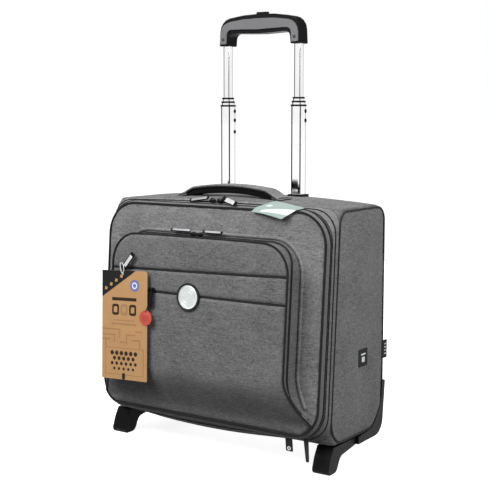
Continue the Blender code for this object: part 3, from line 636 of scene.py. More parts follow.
FORWARD = Vector((0, -1, 0))
FRONT_NORMAL = Vector((0, -1, LEAN)).normalized()
BACK_TOP_RADIUS = 25 * MM
BACK_FOOT_RADIUS = 45 * MM
TOP_LIFT = 60 * MM
CASE_INSIDE = (0, 0, 0.22)


def side_inset(depth):
    """The wrapping panels pass a little below the side panels that are sewn over them."""
    return 1.5 * MM * smoothstep((depth - 22 * MM) / (6 * MM))


def top_row(depth):
    half, top, radius, _, _, crown = station(depth)
    share = min(max((depth - (BACK_DEPTH - BACK_TOP_RADIUS)) / BACK_TOP_RADIUS, 0), 1)
    level = math.sqrt(1 - share**2)
    top -= BACK_TOP_RADIUS * (1 - level)
    crown *= math.sqrt(level)
    half -= side_inset(depth)
    row = [(half, top - TOP_LIFT), (half, top - TOP_LIFT / 2)]
    row += corner_arc(half - radius, top - radius, radius, 0, 90, 6)
    row += [(x * MM, top) for x in (178, 150, 120, 98, 82.8, 68.8, 54.8, 35, 17, 0)]
    row += [(-x, z) for x, z in reversed(row[:-1])]
    return [at(x, depth, z + crown * (1 - (x / half) ** 2) * (z > top - 12 * MM)) for x, z in row]


def foot_row(depth):
    half, _, _, foot, radius, _ = station(depth)
    share = min(max((depth - (BACK_DEPTH - BACK_FOOT_RADIUS)) / BACK_FOOT_RADIUS, 0), 1)
    foot += BACK_FOOT_RADIUS * (1 - math.sqrt(1 - share**2))
    half -= side_inset(depth)
    sag = foot_sag(depth)
    row = [(half, foot + TOP_LIFT), (half, foot + TOP_LIFT / 2)]
    arc = corner_arc(half - radius, foot + radius, radius, 0, 90, 6)
    row += [(x, 2 * (foot + radius) - z) for x, z in arc]
    row += [(x * MM, foot) for x in (175, 150, 115, 80, 40, 0)]
    row += [(-x, z) for x, z in reversed(row[:-1])]
    return [at(x, depth, z - sag * sag_share(x) * (z < foot + 6 * MM)) for x, z in row]


# The frame's profile round its seams: depth and how far it stands out, in millimetres
FRAME_STEPS = ((8.7, 0), (10, 0.3), (12.5, 0.4), (15, 0.2), (16, -0.9), (17, 0.2), (19.5, 0.6), (22, 0.3),
               (24.4, -0.6))
FRAME_POINTS = 280
FOAM = 2.6 * MM
SIDES = ((-1, "left"), (1, "right"))


def bend_depths(radius, turns):
    """Depths of the rows that follow the bend down to the back."""
    return [BACK_DEPTH - radius * (1 - math.sin(math.radians(turn))) for turn in turns]


def make_case():
    """Frame, top, bottom, sides and back, with their pipings."""
    rings = [resampled(case_ring(depth * MM, grow * MM), FRAME_POINTS) for depth, grow in FRAME_STEPS]
    skin("frame_fabric", rings, CASE_INSIDE, "heather", "case", FOAM, closed=True, node="front_frame")

    holes = (TUBE_Y - FRONT_Y - 13.9 * MM, TUBE_Y - FRONT_Y + 13.9 * MM)
    depths = [d * MM for d in (24.0, 26, 29, 33, 40, 50, 62, 75, 90, 105, 116)] + [holes[0]]
    bend = BACK_DEPTH - BACK_TOP_RADIUS
    depths += [bend, TUBE_Y - FRONT_Y, bend + 8 * MM, holes[1]]
    depths = sorted(depths + bend_depths(BACK_TOP_RADIUS, (52, 66, 78, 90)))
    rows = [top_row(depth) for depth in depths]
    first, last = depths.index(holes[0]), depths.index(holes[1])
    columns = {i for i, p in enumerate(rows[3][:-1]) if 54 * MM < abs((p.x + rows[3][i + 1].x) / 2) < 83 * MM}
    # The top takes the darker copy of the heather: painted shade
    skin("top_fabric", rows, CASE_INSIDE, "pocket", "case", FOAM,
         keep=lambda r, c: not (first <= r < last and c in columns), node="top_panel")

    depths = [d * MM for d in (24.0, 26, 29, 33, 42, 55, 75, 95, 118)]
    depths += bend_depths(BACK_FOOT_RADIUS, (15, 30, 45, 60, 75, 90))
    skin("bottom_fabric", [foot_row(d) for d in depths], CASE_INSIDE, "heather", "case", FOAM,
         node="bottom_panel")
    for sign, word in SIDES:
        make_side(sign, word)
    make_back()


SIDE_FOOT, SIDE_HEAD = SIDE_LOW.z, SIDE_HIGH.z
SIDE_FRONT_TOP = FRONT_Y + 25.5 * MM
SIDE_FRONT_FOOT = FRONT_Y + 0.8 * MM
SIDE_BACK = FRONT_Y + BACK_DEPTH - 1.4 * MM
SIDE_HEAD_RADIUS, SIDE_FRONT_RADIUS, SIDE_BACK_RADIUS = 22 * MM, 36 * MM, 43 * MM


def side_reach(z):
    """Front and back edge of a side panel at a height."""
    share = (z - SIDE_FOOT) / (SIDE_HEAD - SIDE_FOOT)
    front = SIDE_FRONT_FOOT + (SIDE_FRONT_TOP - SIDE_FRONT_FOOT) * share
    height = SIDE_HEAD - SIDE_FOOT

    def cut(radius):
        return height / 2 - rounded_half(z, SIDE_FOOT, SIDE_HEAD, height / 2, radius, SIDE_HEAD_RADIUS)

    return front + cut(SIDE_FRONT_RADIUS), SIDE_BACK - cut(SIDE_BACK_RADIUS)


def make_side(sign, word):
    def place(y, z):
        low, high = side_reach(z)
        edge = min(y - low, high - y, z - SIDE_FOOT, SIDE_HEAD - z)
        crown = 2.6 * MM * smoothstep(edge / (55 * MM)) - 1.5 * MM * (1 - smoothstep(edge / (4.5 * MM)))
        crown += wander(y, z, sign, 16, 0.7 * MM) * smoothstep(edge / (20 * MM))
        return Vector((sign * (SIDE_X + 0.2 * MM + crown), y, z)), Vector((sign * (SIDE_X - 3 * MM), y, z))

    pairs = [[place(y, z) for y in spread(*side_reach(z), 17)] for z in spread(SIDE_FOOT, SIDE_HEAD, 38)]
    padded(f"side_fabric_{word}", pairs, "heather", "case", 0.35, 1.0 * MM, "lining",
           node=f"side_panel_{word}")
    corners = [(SIDE_FRONT_TOP, SIDE_HEAD, SIDE_HEAD_RADIUS), (SIDE_BACK, SIDE_HEAD, SIDE_HEAD_RADIUS),
               (SIDE_BACK, SIDE_FOOT, SIDE_BACK_RADIUS), (SIDE_FRONT_FOOT, SIDE_FOOT, SIDE_FRONT_RADIUS)]
    outline = rounded(corners, 12)
    path = even([(sign * (SIDE_X + 0.1 * MM), y, z) for y, z in outline], 4 * MM, True)
    sweep(f"side_piping_{word}", path, circle(1.4 * MM, 10), "lining", "case", Vector((1, 0, 0)), True)


def make_back():
    low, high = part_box("back_panel")
    half = SIDE_X - 1.8 * MM
    seams = [s * n * MM for s in (-1, 1) for n in (101, 103.4, 105, 106.6, 109)]
    columns = sorted(spread(-half, half, 34) + seams)

    def place(x, z):
        edge = min(half - abs(x), z - low.z + 3 * MM, high.z + 3 * MM - z)
        crown = 1.6 * MM * smoothstep(edge / (40 * MM)) - 1.4 * MM * (1 - smoothstep(edge / (4 * MM)))
        crown -= 1.8 * MM * math.exp(-(((abs(x) - 105 * MM) / (1.6 * MM)) ** 2))
        return Vector((x, high.y + crown + wander(x, 5, z, 14, 0.5 * MM), z)), Vector((x, low.y, z))

    pairs = [[place(x, z) for x in columns] for z in spread(low.z - 3 * MM, high.z + 3 * MM, 26)]
    padded("back_fabric", pairs, "heather", "case", 0.35, 1.0 * MM, "lining", node="back_panel")


# ---- zips


def strip(a0, b0, a1, b1, thick):
    """Section of a thin strip between two (outward, forward) points."""
    along = Vector((a1 - a0, b1 - b0)).normalized() * thick / 2
    side = Vector((-along.y, along.x))
    ends = ((a0, b0, 1), (a1, b1, 1), (a1, b1, -1), (a0, b0, -1))
    return [(a + turn * side.x, b + turn * side.y) for a, b, turn in ends]


def teeth(name, path, body, up=FORWARD, closed=False, shift=lambda place: (0, 0), radius=0.95, waist=0.62):
    """Zip teeth: a row of small beads along a path, which may be shifted (outward, forward) at each place."""
    beads = [circle(radius * MM * (1 if i % 2 else waist), 6) for i in range(len(path))]
    sections = [moved(bead, *shift(place)) for bead, place in zip(beads, path)]
    sweep(name, path, sections, "tooth", body, up, closed, 80)


def lid_ring(depth, grow=0.0, spacing=5 * MM):
    outline = ring(LID_HALF + grow, TOP_LINE + grow, LID_TOP_RADIUS + grow, LID_FOOT - grow,
                   LID_FOOT_RADIUS + grow, 0, depth)
    return even(outline, spacing, True)


def make_main_zip():
    lid_path = lid_ring(4 * MM)
    upright, turned_down = ((0.2, 3.0, 3.2, -3.0), (1.6, 4.4, 5.4, 2.2))
    sections = []
    for place in lid_path:
        share = smoothstep((LID_FOOT + 34 * MM - place.z) / (26 * MM))
        sections.append(strip(*[(a + (b - a) * share) * MM for a, b in zip(upright, turned_down)], 0.9 * MM))
    sweep("main_tape_lid", lid_path, sections, "tape", "lid", FORWARD, True)
    sweep("lid_piping", lid_ring(0.6 * MM), moved(circle(1.9 * MM, 10), 0, 0.2 * MM), "binding", "lid",
          FORWARD, True)
    rows = {"lid": lid_ring(7.4 * MM, 4.2 * MM, 1.35 * MM), "case": case_ring(9.4 * MM, 0.5 * MM, 1.35 * MM)}
    for body, fine in rows.items():
        teeth(f"main_teeth_{body}", fine[: len(fine) // 2 * 2], body, closed=True)
    sweep("frame_seam", case_ring(16 * MM), moved(circle(0.9 * MM, 8), 0.2 * MM, 0), "binding", "case",
          FORWARD, True)


# ---- lid and pocket


def flare_share(z):
    """How far the pocket's side has turned out to the lid's corner: 0 where it is straight, 1 at its end."""
    return min(max((FLARE_TOP - z) / (FLARE_TOP - FLARE_END), 0), 1) ** 1.75


def lid_half(z):
    """Half width of the lid at a height."""
    return rounded_half(z, LID_FOOT, TOP_LINE, LID_HALF, LID_FOOT_RADIUS, LID_TOP_RADIUS)


def pocket_half(z):
    """Half width of the pocket: straight sides that flare out to the lid's lower corners."""
    if z > POCKET_TOP - POCKET_CORNER:
        rise = min(z - POCKET_TOP + POCKET_CORNER, POCKET_CORNER)
        return POCKET_HALF - POCKET_CORNER + math.sqrt(POCKET_CORNER**2 - rise**2)
    if z > FLARE_END:
        return POCKET_HALF + POCKET_FLARE * flare_share(z)
    return lid_half(z) - 1.5 * MM


def pocket_edge(z):
    """How far the pocket's edge stands in front of the lid."""
    return POCKET_DEPTH - (POCKET_DEPTH - 4 * MM) * flare_share(z)


def pocket_face(x, z):
    """How far the pocket's face stands in front of the lid."""
    edge = pocket_edge(z)
    belly = 4 * MM + (POCKET_DEPTH - 1.8 * MM) * smoothstep((z - POCKET_FOOT) / (75 * MM))
    share = min(abs(x) / pocket_half(z), 1)
    crown = 1.5 * MM * (1 - share**2) * smoothstep((z - 75 * MM) / (20 * MM))
    return edge + (max(belly, edge) - edge) * (1 - share**4) + crown


def pocket_path(spacing):
    """The pocket's front edge, from the middle of its foot up the right side and round."""
    rise = FLARE_END - POCKET_FOOT
    low = [POCKET_FOOT + rise * (k / 8) ** 2 for k in range(8)]
    right = [(0.0, POCKET_FOOT), (90 * MM, POCKET_FOOT)] + [(pocket_half(z), z) for z in low]
    right += [(pocket_half(z * MM), z * MM) for z in [*range(80, 156, 4), 180, 220, 260]]
    right += corner_arc(POCKET_HALF - POCKET_CORNER, POCKET_TOP - POCKET_CORNER, POCKET_CORNER, 0, 90)
    right += [(60 * MM, POCKET_TOP), (0.0, POCKET_TOP)]
    outline = right + [(-x, z) for x, z in reversed(right[1:-1])]
    fine = even([at(x, 0, z) for x, z in outline], spacing, True)
    return [at(p.x, -pocket_edge(p.z), p.z) for p in fine]


def upper_line(x):
    """Height of the zip across the top of the pocket's face."""
    return 292.8 * MM + 0.0266 * x


LOWER_LINE = 256.5 * MM
SLIT = 1.1 * MM


def face_pad(name, low_line, high_line, count, **marks):
    """One sewn part of the pocket's face, between two heights that may depend on x."""
    shares = [s / 100 for s in (0, 0.35, 1.0, 2.0, 3.4)] + [float(v) for v in np.linspace(0.055, 0.945, 34)]
    shares = sorted(set(shares + [1 - s for s in shares]))
    top, foot = high_line(0), low_line(0)

    def place(share, v):
        z = v
        for _ in range(3):
            x = pocket_half(z) * (2 * share - 1) * 0.996
            z = low_line(x) + (high_line(x) - low_line(x)) * ((v - foot) / (top - foot))
        edge = min((1 - abs(2 * share - 1)) * pocket_half(z), z - low_line(x), high_line(x) - z)
        roll = 1.9 * MM * (1 - smoothstep((edge + 0.4 * MM) / (4.5 * MM)))
        soft = wander(x, z, 3, 17, 0.9 * MM) * smoothstep(edge / (25 * MM))
        seam = 0.9 * MM * math.exp(-(((z - 110 * MM) / (1.2 * MM)) ** 2))
        depth = pocket_face(x, z)
        return at(x, -(depth - roll + soft - seam), z), at(x, -max(depth - 3.4 * MM, 0.5 * MM), z)

    heights = spread(foot, top, count, (0.0, 0.5 * MM, 1.6 * MM, 3.4 * MM))
    pairs = [[place(share, v) for share in shares] for v in heights]
    # The pocket's face takes the darker copy of the heather: painted shade
    padded(name, pairs, "pocket", "pocket", 0.4, 1.3 * MM, "lining", **marks)


def slit_zip(name, line):
    """The tape and teeth that show in a slit of the pocket's face."""
    xs = [float(x) for x in np.linspace(-pocket_half(line(0)) + 3 * MM, pocket_half(line(0)) - 3 * MM, 80)]
    path = [at(x, -(pocket_face(x, line(x)) - 2.1 * MM), line(x)) for x in xs]
    sweep(f"{name}_tape", path, rounded_box(1.0 * MM, 7 * MM, 0.3 * MM, 2), "binding", "pocket", UP)
    teeth(f"{name}_teeth", even(path, 1.3 * MM), "pocket", UP, shift=lambda place: (0.9 * MM, 0), radius=0.85,
          waist=0.65)


def make_lid():
    def place(x, z):
        edge = min(lid_half(z) - abs(x), z - LID_FOOT, TOP_LINE - z)
        crown = 0.9 * MM * smoothstep(edge / (20 * MM)) - 1.2 * MM * (1 - smoothstep(edge / (4.5 * MM)))
        return at(x, -crown + wander(x, z, 9, 18, 0.6 * MM), z), at(x, 7.4 * MM, z)

    pairs = [[place(x, z) for x in spread(-lid_half(z), lid_half(z), 44)]
             for z in spread(LID_FOOT, TOP_LINE, 40)]
    padded("lid_fabric", pairs, "heather", "lid", 0.35, 0.8 * MM, "lining", node="lid_panel")


def zip_place(z):
    """How far the pocket's zip stands in front of the lid: nearer to it over the top than down the sides."""
    return min(12 * MM + 13 * MM * smoothstep((POCKET_TOP - z) / (45 * MM)), pocket_edge(z) - 4 * MM)


def make_pocket():
    face_pad("pocket_face_upper", lambda x: upper_line(x) + SLIT, lambda x: POCKET_TOP - 0.4 * MM, 9,
             node="pocket_panel")
    face_pad("pocket_face_middle", lambda x: LOWER_LINE + SLIT, lambda x: upper_line(x) - SLIT, 7)
    face_pad("pocket_face_lower", lambda x: POCKET_FOOT + 0.4 * MM, lambda x: LOWER_LINE - SLIT, 34)
    slit_zip("upper", upper_line)
    slit_zip("lower", lambda x: LOWER_LINE)

    path = pocket_path(4 * MM)
    sweep("pocket_piping", path, moved(circle(1.7 * MM, 10), 0.3 * MM, -0.7 * MM), "binding", "pocket",
          FORWARD, True)
    sweep("pocket_tape_front", path, strip(0.2 * MM, -2 * MM, 0.1 * MM, -4.6 * MM, 0.8 * MM), "heather",
          "pocket", FORWARD, True)

    # The gusset is one wall from the lid to just behind the face, and stands out where it is sewn on.
    wall = [p for p in pocket_path(5 * MM) if p.z > 86 * MM]
    rows = []
    for place, (_, side, _) in zip(wall, frames_along(wall, False, FORWARD)):
        full = pocket_edge(place.z)
        reach = full - 4.8 * MM
        row = []
        for share in (0, 0.05, 0.12, 0.22, 0.36, 0.52, 0.7, 0.86, 1):
            depth = reach * share
            out = 3.2 * MM * math.exp(-((share * reach / (5 * MM)) ** 2))
            out = out - 1.2 * MM * math.sin(math.pi * share) - 0.5 * MM
            row.append(at(place.x, -depth, place.z) + Vector((side.x, 0, side.z)).normalized() * out)
        rows.append(row)
    fold = [at(p.x, 0, p.z) for p in wall if p.z > 100 * MM]
    sides = [Vector((side.x, 0, side.z)).normalized() for _, side, _ in frames_along(fold, False, FORWARD)]
    fold = [p + side * 4.6 * MM - Vector((0, 2.6 * MM, 0)) for p, side in zip(fold, sides)]
    sweep("gusset_fold", fold, circle(2.7 * MM, 12), "heather", "lid", FORWARD)
    # The gusset's darker heather is painted shade
    skin("gusset_fabric_painted_shade", rows, at(0, -15 * MM, 0.2), "gusset", "lid", 1.6 * MM, node="pocket_gusset")


def make_pocket_zip():
    """The pocket's zip round the gusset, closer to the lid over the top than down the sides."""
    fine = [p for p in pocket_path(1.3 * MM) if p.z > 95 * MM]
    for name, gap, body in (("gusset", -1.0 * MM, "lid"), ("pocket", 1.0 * MM, "pocket")):
        teeth(f"{name}_teeth", fine, body,
              shift=lambda place: (0.5 * MM, gap - (pocket_edge(place.z) - zip_place(place.z))))


# ---- carry handle


def handle_height(share):
    """Height of the strap's top at a share of its half length."""
    return 421.5 * MM - 10 * MM * share**2 - 7 * MM * smoothstep((abs(share) - 0.72) / 0.28)


def make_handle():
    low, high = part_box("carry_handle")
    half, mid_y, wide = (high.x - low.x) / 2 - 5 * MM, (low.y + high.y) / 2, high.y - low.y
    shares = [float(s) for s in np.linspace(-1, 1, 61)]
    path, upper, under, welt = [], [], [], []
    for s in shares:
        end = smoothstep((abs(s) - 0.8) / 0.2)
        thick = 13 * MM - 8 * MM * end
        grip = 1 - 0.16 * (1 - smoothstep(abs(s) / 0.85))
        path.append((half * s, mid_y, handle_height(s)))
        upper.append(moved(rounded_box(wide * grip, 4.2 * MM, 1.9 * MM), 0, -2.1 * MM))
        cushion = rounded_box(wide * grip - 3 * MM, thick, min(thick, 8 * MM) / 2.05, 6)
        under.append(moved(cushion, 0, -thick / 2 - 1.2 * MM))
        welt.append(moved(circle(1.3 * MM, 8), -wide * grip / 2 + 0.2 * MM, -3.6 * MM))
    sweep("handle_strap", path, upper, "heather", "case", UP, node="carry_handle")
    roll = sweep("handle_padding", path, under, "padding", "case", UP)
    for word, sign in (("front", 1), ("rear", -1)):
        seam = [[(sign * a, b) for a, b in section] for section in welt]
        sweep(f"handle_welt_{word}", path, seam, "binding", "case", UP)

    # A patch with a bound edge is sewn over each end of the strap.
    for sign, word in SIDES:
        outline = [(sign * (half + u * MM), mid_y + v * MM) for u, v in box_outline(-12, 4, -18, 18, 4)]

        def patch_top(u, v, w):
            rise = 3.4 * MM * smoothstep((half + 4 * MM - abs(u)) / (12 * MM))
            return Vector((u, v, top_height(u, v) + w + rise))

        slab(f"handle_patch_{word}", outline, -1.5 * MM, 1.6 * MM, patch_top, "heather", "case", 0.8 * MM)
        edge = [patch_top(u, v, 1.0 * MM) for u, v in outline]
        sweep(f"handle_patch_edge_{word}", even(edge, 3 * MM, True), circle(0.9 * MM, 8), "lining", "case",
              UP, True)


def top_height(x, y):
    """Height of the case's top at a place on it."""
    depth = y - FRONT_Y
    half, top, _, _, _, crown = station(depth)
    return top + crown * (1 - (x / half) ** 2)


# ---- sliders and pulls


def facing(where, along):
    """A placing function turned in its own plane, so that u runs along a direction."""
    a = Vector(along).normalized()
    return lambda u, v, w: where(a.x * u - a.y * v, a.y * u + a.x * v, w)


def slider(node, where, size, body, along=(1, 0)):
    """A zip slider: a rounded body pinched at its rear, with a bridge over it that the pull hangs on."""
    place = facing(where, along)
    length, width, height = (value * MM for value in size)
    half = [(-0.5, 0.3, 1.2), (0.1, 0.5, 1.5), (0.5, 0.36, 1.2)]
    corners = [(u, -v, radius) for u, v, radius in half] + half[::-1]
    outline = rounded([(u * length, v * width, radius * MM) for u, v, radius in corners], 3)
    name = node.replace("_", "-")
    slab(name + "-body", outline, -0.5 * height, 0.12 * height, place, "black", body, 0.6 * MM, node=node)
    arch = ((-0.38, 0), (-0.34, 0.3), (-0.18, 0.48), (0.12, 0.48), (0.3, 0.34), (0.36, 0))
    arch = [place(length * u, 0, height * w) for u, w in arch]
    normal = (place(0, 0, 1) - place(0, 0, 0)).normalized()
    sweep(name + "-bridge", arch, rounded_box(2.6 * MM, 1.2 * MM, 0.5 * MM, 2), "black", body, normal)


def pull(node, where, size, body, silver, along=(1, 0)):
    """A pull tab along a direction from its pivot: a black body, and a satin plate let into its face."""
    place = facing(where, along)
    length, width, thick = (value * MM for value in size)
    outline = box_outline(0.6 * MM, length, -width / 2, width / 2, min(2.2 * MM, width * 0.32))
    name = node.replace("_", "-")
    slab(name + "-tab", outline, 0, thick, place, "black", body, 0.5 * MM, node=node)
    if silver:
        start, end, share = silver
        plate = box_outline(start * length, end * length, -width * share / 2, width * share / 2, 1 * MM)
        slab(name + "-plate", plate, thick * 0.5, thick + 0.35 * MM, place, "nickel", body, 0.25 * MM)


def tilted(pivot, side, degrees, yaw=0.0, roll=0.0):
    """A placing function for a pull on the top: u along it, w up, turned about its pivot and length."""
    turn = Matrix.Rotation(math.radians(yaw), 3, "Z") @ Matrix.Rotation(math.radians(side * degrees), 3, "Y")
    turn = turn @ Matrix.Rotation(math.radians(roll), 3, "X")
    return lambda u, v, w: pivot + turn @ Vector((side * u, v, w))


def outwards(centre, side):
    """A placing function on the top, with u away from the middle of the case."""
    return lambda u, v, w: centre + Vector((side * u, v, w))


def from_face(u0, v0, depth):
    """A placing function on the pocket's face, from a place in millimetres."""
    return lambda u, v, w: on_front(u0 * MM + u, v0 * MM + v, depth * MM + w)


def make_zip_fittings():
    for side, word in SIDES:
        centre = middle(f"main_slider_{word}")
        slider(f"main_slider_{word}", outwards(centre, side), (10, 9, 5.6), f"main_slide_{word}")
        pivot = centre + Vector((side * 5.6 * MM, -1 * MM, 3.4 * MM))
        if side < 0:
            place, size, plate = tilted(pivot, side, 9, 0, 48), (38, 6.8, 1.8), (0.1, 0.9, 0.66)
        else:
            place, size, plate = tilted(pivot, side, 13, -14, 52), (34, 8.4, 1.8), (0.26, 0.84, 0.86)
        pull(f"main_puller_{word}", place, size, f"main_pull_{word}", plate)
        centre = middle(f"pocket_slider_{word}")
        slider(f"pocket_slider_{word}", outwards(centre, side), (9, 8, 4.6), f"pocket_slide_{word}")
        place = tilted(centre + Vector((side * 5.2 * MM, -1 * MM, 4.2 * MM)), side, 0, 0, 42)
        plate = (0.02, 0.9, 0.66) if side < 0 else (0.14, 0.92, 0.66)
        pull(f"pocket_puller_{word}", place, (38, 5.6, 1.8), f"pocket_pull_{word}", plate)

    slider("upper_slider", from_face(-136.7, 289.5, 42.9), (10.5, 8.4, 3.8), "upper_slide")
    lean = math.radians(38)
    pull("upper_puller", from_face(-133.5, 291, 45.2), (29.5, 9, 1.5), "upper_pull", (0.1, 0.82, 0.62),
         (math.sin(lean), math.cos(lean)))
    slider("lower_slider", from_face(-77.6, 258.2, 42.9), (10, 9, 3.8), "lower_slide", (0, 1))
    pull("lower_puller", from_face(-79, 258, 45.2), (25, 11, 1.2), "lower_pull", None, (0, -1))


# ---- badge, labels and tags


def make_badge():
    centre = middle("badge")
    rim = ((21.2, -1.6), (21.6, 0.2), (21.0, 1.4), (19.4, 1.8), (18.2, 1.3), (18.0, 0.6), (18.0, -1.6))
    turned("badge_rim", rim + rim[:1], centre, FRONT_NORMAL, "tooth", "pocket", 64)
    face = ((0, 1.15), (8.4, 1.15), (9.0, 0.6), (9.6, 1.15), (13.3, 1.15), (13.9, 0.6), (14.5, 1.15),
            (17.6, 1.05), (18.1, 0.8), (18.1, -1.5), (0, -1.5))
    turned("badge_plate", face, centre, FRONT_NORMAL, "badge", "pocket", 64, node="badge")


def make_labels():
    low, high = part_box("side_label")
    face = SIDE_X + 4.3 * MM
    outline = [(u, v) for u, v in box_outline(low.y, high.y, low.z, high.z, 1.5 * MM)]
    slab("side_label_patch", outline, face - 3.4 * MM, face + 0.5 * MM, on_side, "binding", "case", 0.3 * MM,
         node="side_label")
    u, v = (low.y + high.y) / 2, (low.z + high.z) / 2
    for index, (a, b, c, d) in enumerate(((-7, 7, 4, 6.5), (-4.5, 4.5, -7, 1))):
        mark = box_outline(u + a * MM, u + b * MM, v + c * MM, v + d * MM, 1 * MM)
        slab(f"side_label_mark_{index}", mark, face + 0.4 * MM, face + 0.7 * MM, on_side, "white", "case")
    low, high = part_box("flag_label")
    outline = box_outline(low.y - 1 * MM, high.y, low.z, high.z, 1 * MM)
    slab("flag_label_loop", outline, low.x, high.x, on_side, "binding", "case", 0.5 * MM, node="flag_label")
    for index in range(4):
        z = low.z + (6 + 5.2 * index) * MM
        mark = box_outline(high.y - 9 * MM, high.y - 4 * MM, z, z + 2 * MM, 0.5 * MM)
        slab(f"flag_label_mark_{index}", mark, high.x - 0.1 * MM, high.x + 0.2 * MM, on_side, "white", "case")


KRAFT_FACE = 47.6 * MM
KRAFT_HANG = Vector((-130, 287)) * MM
KRAFT_TURN = Matrix.Rotation(math.radians(2.6), 2)


def make_kraft_tag():
    """Plain printed shapes on the board, and the loop of string that it hangs on."""

    def printed(name, outline, paint, level=0.0):
        shape = [(KRAFT_HANG + KRAFT_TURN @ (Vector((u, v)) * MM - KRAFT_HANG)).to_tuple()
                 for u, v in outline]
        slab("kraft_" + name, shape, KRAFT_FACE, KRAFT_FACE + (0.25 + level) * MM, on_front, paint,
             "kraft_swing")

    def bar(name, u0, u1, v0, v1, paint="brown_ink", radius=0.6):
        printed(name, box_outline(u0, u1, v0, v1, radius), paint)

    printed("corner", [(-177, 286), (-177, 243.5), (-108, 286)], "black_ink")
    for index in range(4):
        u, v = -168.5 + 10.6 * index, 257.5 + 6.5 * index
        diamond = [(u + 3.4 * math.cos(t), v + 3.4 * math.sin(t)) for t in (0.54, 2.11, 3.68, 5.25)]
        printed(f"diamond_{index}", diamond, "kraft", 0.12)
    printed("spot", disc(-109.8, 263, 9.2), "blue_ink")
    printed("spot_ring", disc(-109.8, 263, 5.4), "pale_ink", 0.1)
    printed("spot_core", disc(-109.8, 263, 3.2), "blue_ink", 0.2)
    bar("title", -156, -106, 238.5, 243.5, "ink")
    for index, paint in enumerate(("ink", "brown_ink", "ink")):
        u = 17.6 * index
        printed(f"title_{index}", box_outline(-156 + u, -141.6 + u, 215.5, 233, 4), paint)
        printed(f"title_hollow_{index}", box_outline(-152.4 + u, -145.2 + u, 219.5, 229, 1.6), "kraft", 0.1)
    bar("rule_1", -153, -109, 206.8, 208.2)
    bar("rule_2", -157, -106, 200.5, 203, "brown_ink")
    pipes = ((-177, -139, 192, 194), (-141, -139, 180, 194), (-177, -150, 183, 185), (-152, -150, 172, 185),
             (-125, -108, 184, 186), (-127, -125, 170, 186), (-116, -98, 176, 178), (-100, -98, 164, 178),
             (-140, -128, 172, 174), (-177, -158, 176, 178), (-170, -168, 166, 178), (-108, -94, 190, 192))
    for index, (u0, u1, v0, v1) in enumerate(pipes):
        bar(f"line_{index}", u0, u1, v0, v1)
    frame_lines = ((-170, -91, 163, 164.2), (-170, -91, 121, 122.2), (-170, -168.8, 121, 164.2),
                   (-92.2, -91, 121, 164.2))
    for index, (u0, u1, v0, v1) in enumerate(frame_lines):
        bar(f"frame_{index}", u0, u1, v0, v1, "brown_ink", 0.3)
    for row in range(4):
        for column in range(6 - row % 2):
            u, v = -155.5 + 9.6 * column + 4.8 * (row % 2), 155.5 - 8.2 * row
            printed(f"hex_{row}_{column}", disc(u, v, 3.9 - 0.45 * row, 6), "ink")
    printed("notch", box_outline(-134.6, -128.6, 114.2, 124.5, 2.4), "black_ink", 0.1)
    printed("eyelet", disc(-134, 281.5, 2.1), "pale_ink", 0.3)

    ends = [(-134.6, 281.5, 48.4), (-137.5, 288, 49.2), (-140.5, 295.5, 47.5), (-139.8, 297.2, 45.8),
            (-136.6, 296.8, 45.6), (-132.6, 292, 47.9), (-131.2, 286, 49.0), (-133.2, 281.5, 48.5)]
    loop = [on_front(u * MM, v * MM, w * MM) for u, v, w in ends]
    string_loop("kraft_string", loop, 0.75, "string", "kraft_swing")


def smooth_loop(points, spacing):
    """A closed smooth curve through points."""
    fine = []
    count = len(points)
    for i in range(count):
        a, b, c, d = (points[(i + k) % count] for k in (-1, 0, 1, 2))
        for step in range(8):
            t = step / 8
            fine.append(0.5 * (2 * b + (c - a) * t + (2 * a - 5 * b + 4 * c - d) * t * t
                               + (3 * b - 3 * c + d - a) * t**3))
    return even(fine, spacing, True)


def string_loop(name, points, radius, paint, body, up=FORWARD, **marks):
    """A closed loop of string through points, with its radius in millimetres."""
    sweep(name, smooth_loop(points, 0.8 * MM), circle(radius * MM, 8), paint, body, up, True, **marks)


def make_red_tag():
    centre = middle("red_tag")
    profile = ((0, 0.5), (9.4, 0.5), (9.7, 0.34), (10.1, 0.5), (11.6, 0.46), (12, 0.2), (12, -0.4), (0, -0.4))
    turned("red_tag_disc", profile, centre, FRONT_NORMAL, "red", "lower_pull", 48, node="red_tag")
    u, v = -83.5 * MM, 216 * MM
    for index, (half, rise) in enumerate(((5.5, 2.4), (6.5, -0.6), (4.5, -3.6))):
        line = box_outline(u - half * MM, u + half * MM, v + rise * MM, v + (rise + 1.1) * MM, 0.4 * MM)
        slab(f"red_tag_line_{index}", line, 49.0 * MM, 49.3 * MM, on_front, "dark_red", "lower_pull")
    ends = [(-83.0, 226, 49.4), (-82.2, 230.5, 48.6), (-80.2, 235.5, 47.4), (-78.2, 236, 46.8),
            (-78.6, 232, 47.2), (-81.0, 226.5, 48.9)]
    loop = [on_front(a * MM, b * MM, c * MM) for a, b, c in ends]
    string_loop("red_tag_string", loop, 0.55, "binding", "lower_pull", slot="red_card")


def card_height(y):
    """Height of the card's underside: it droops past the lid's edge."""
    depth = y - FRONT_Y
    return 400.6 * MM - 0.36 * max(0, 25 * MM - depth) - 0.62 * max(0, -depth)


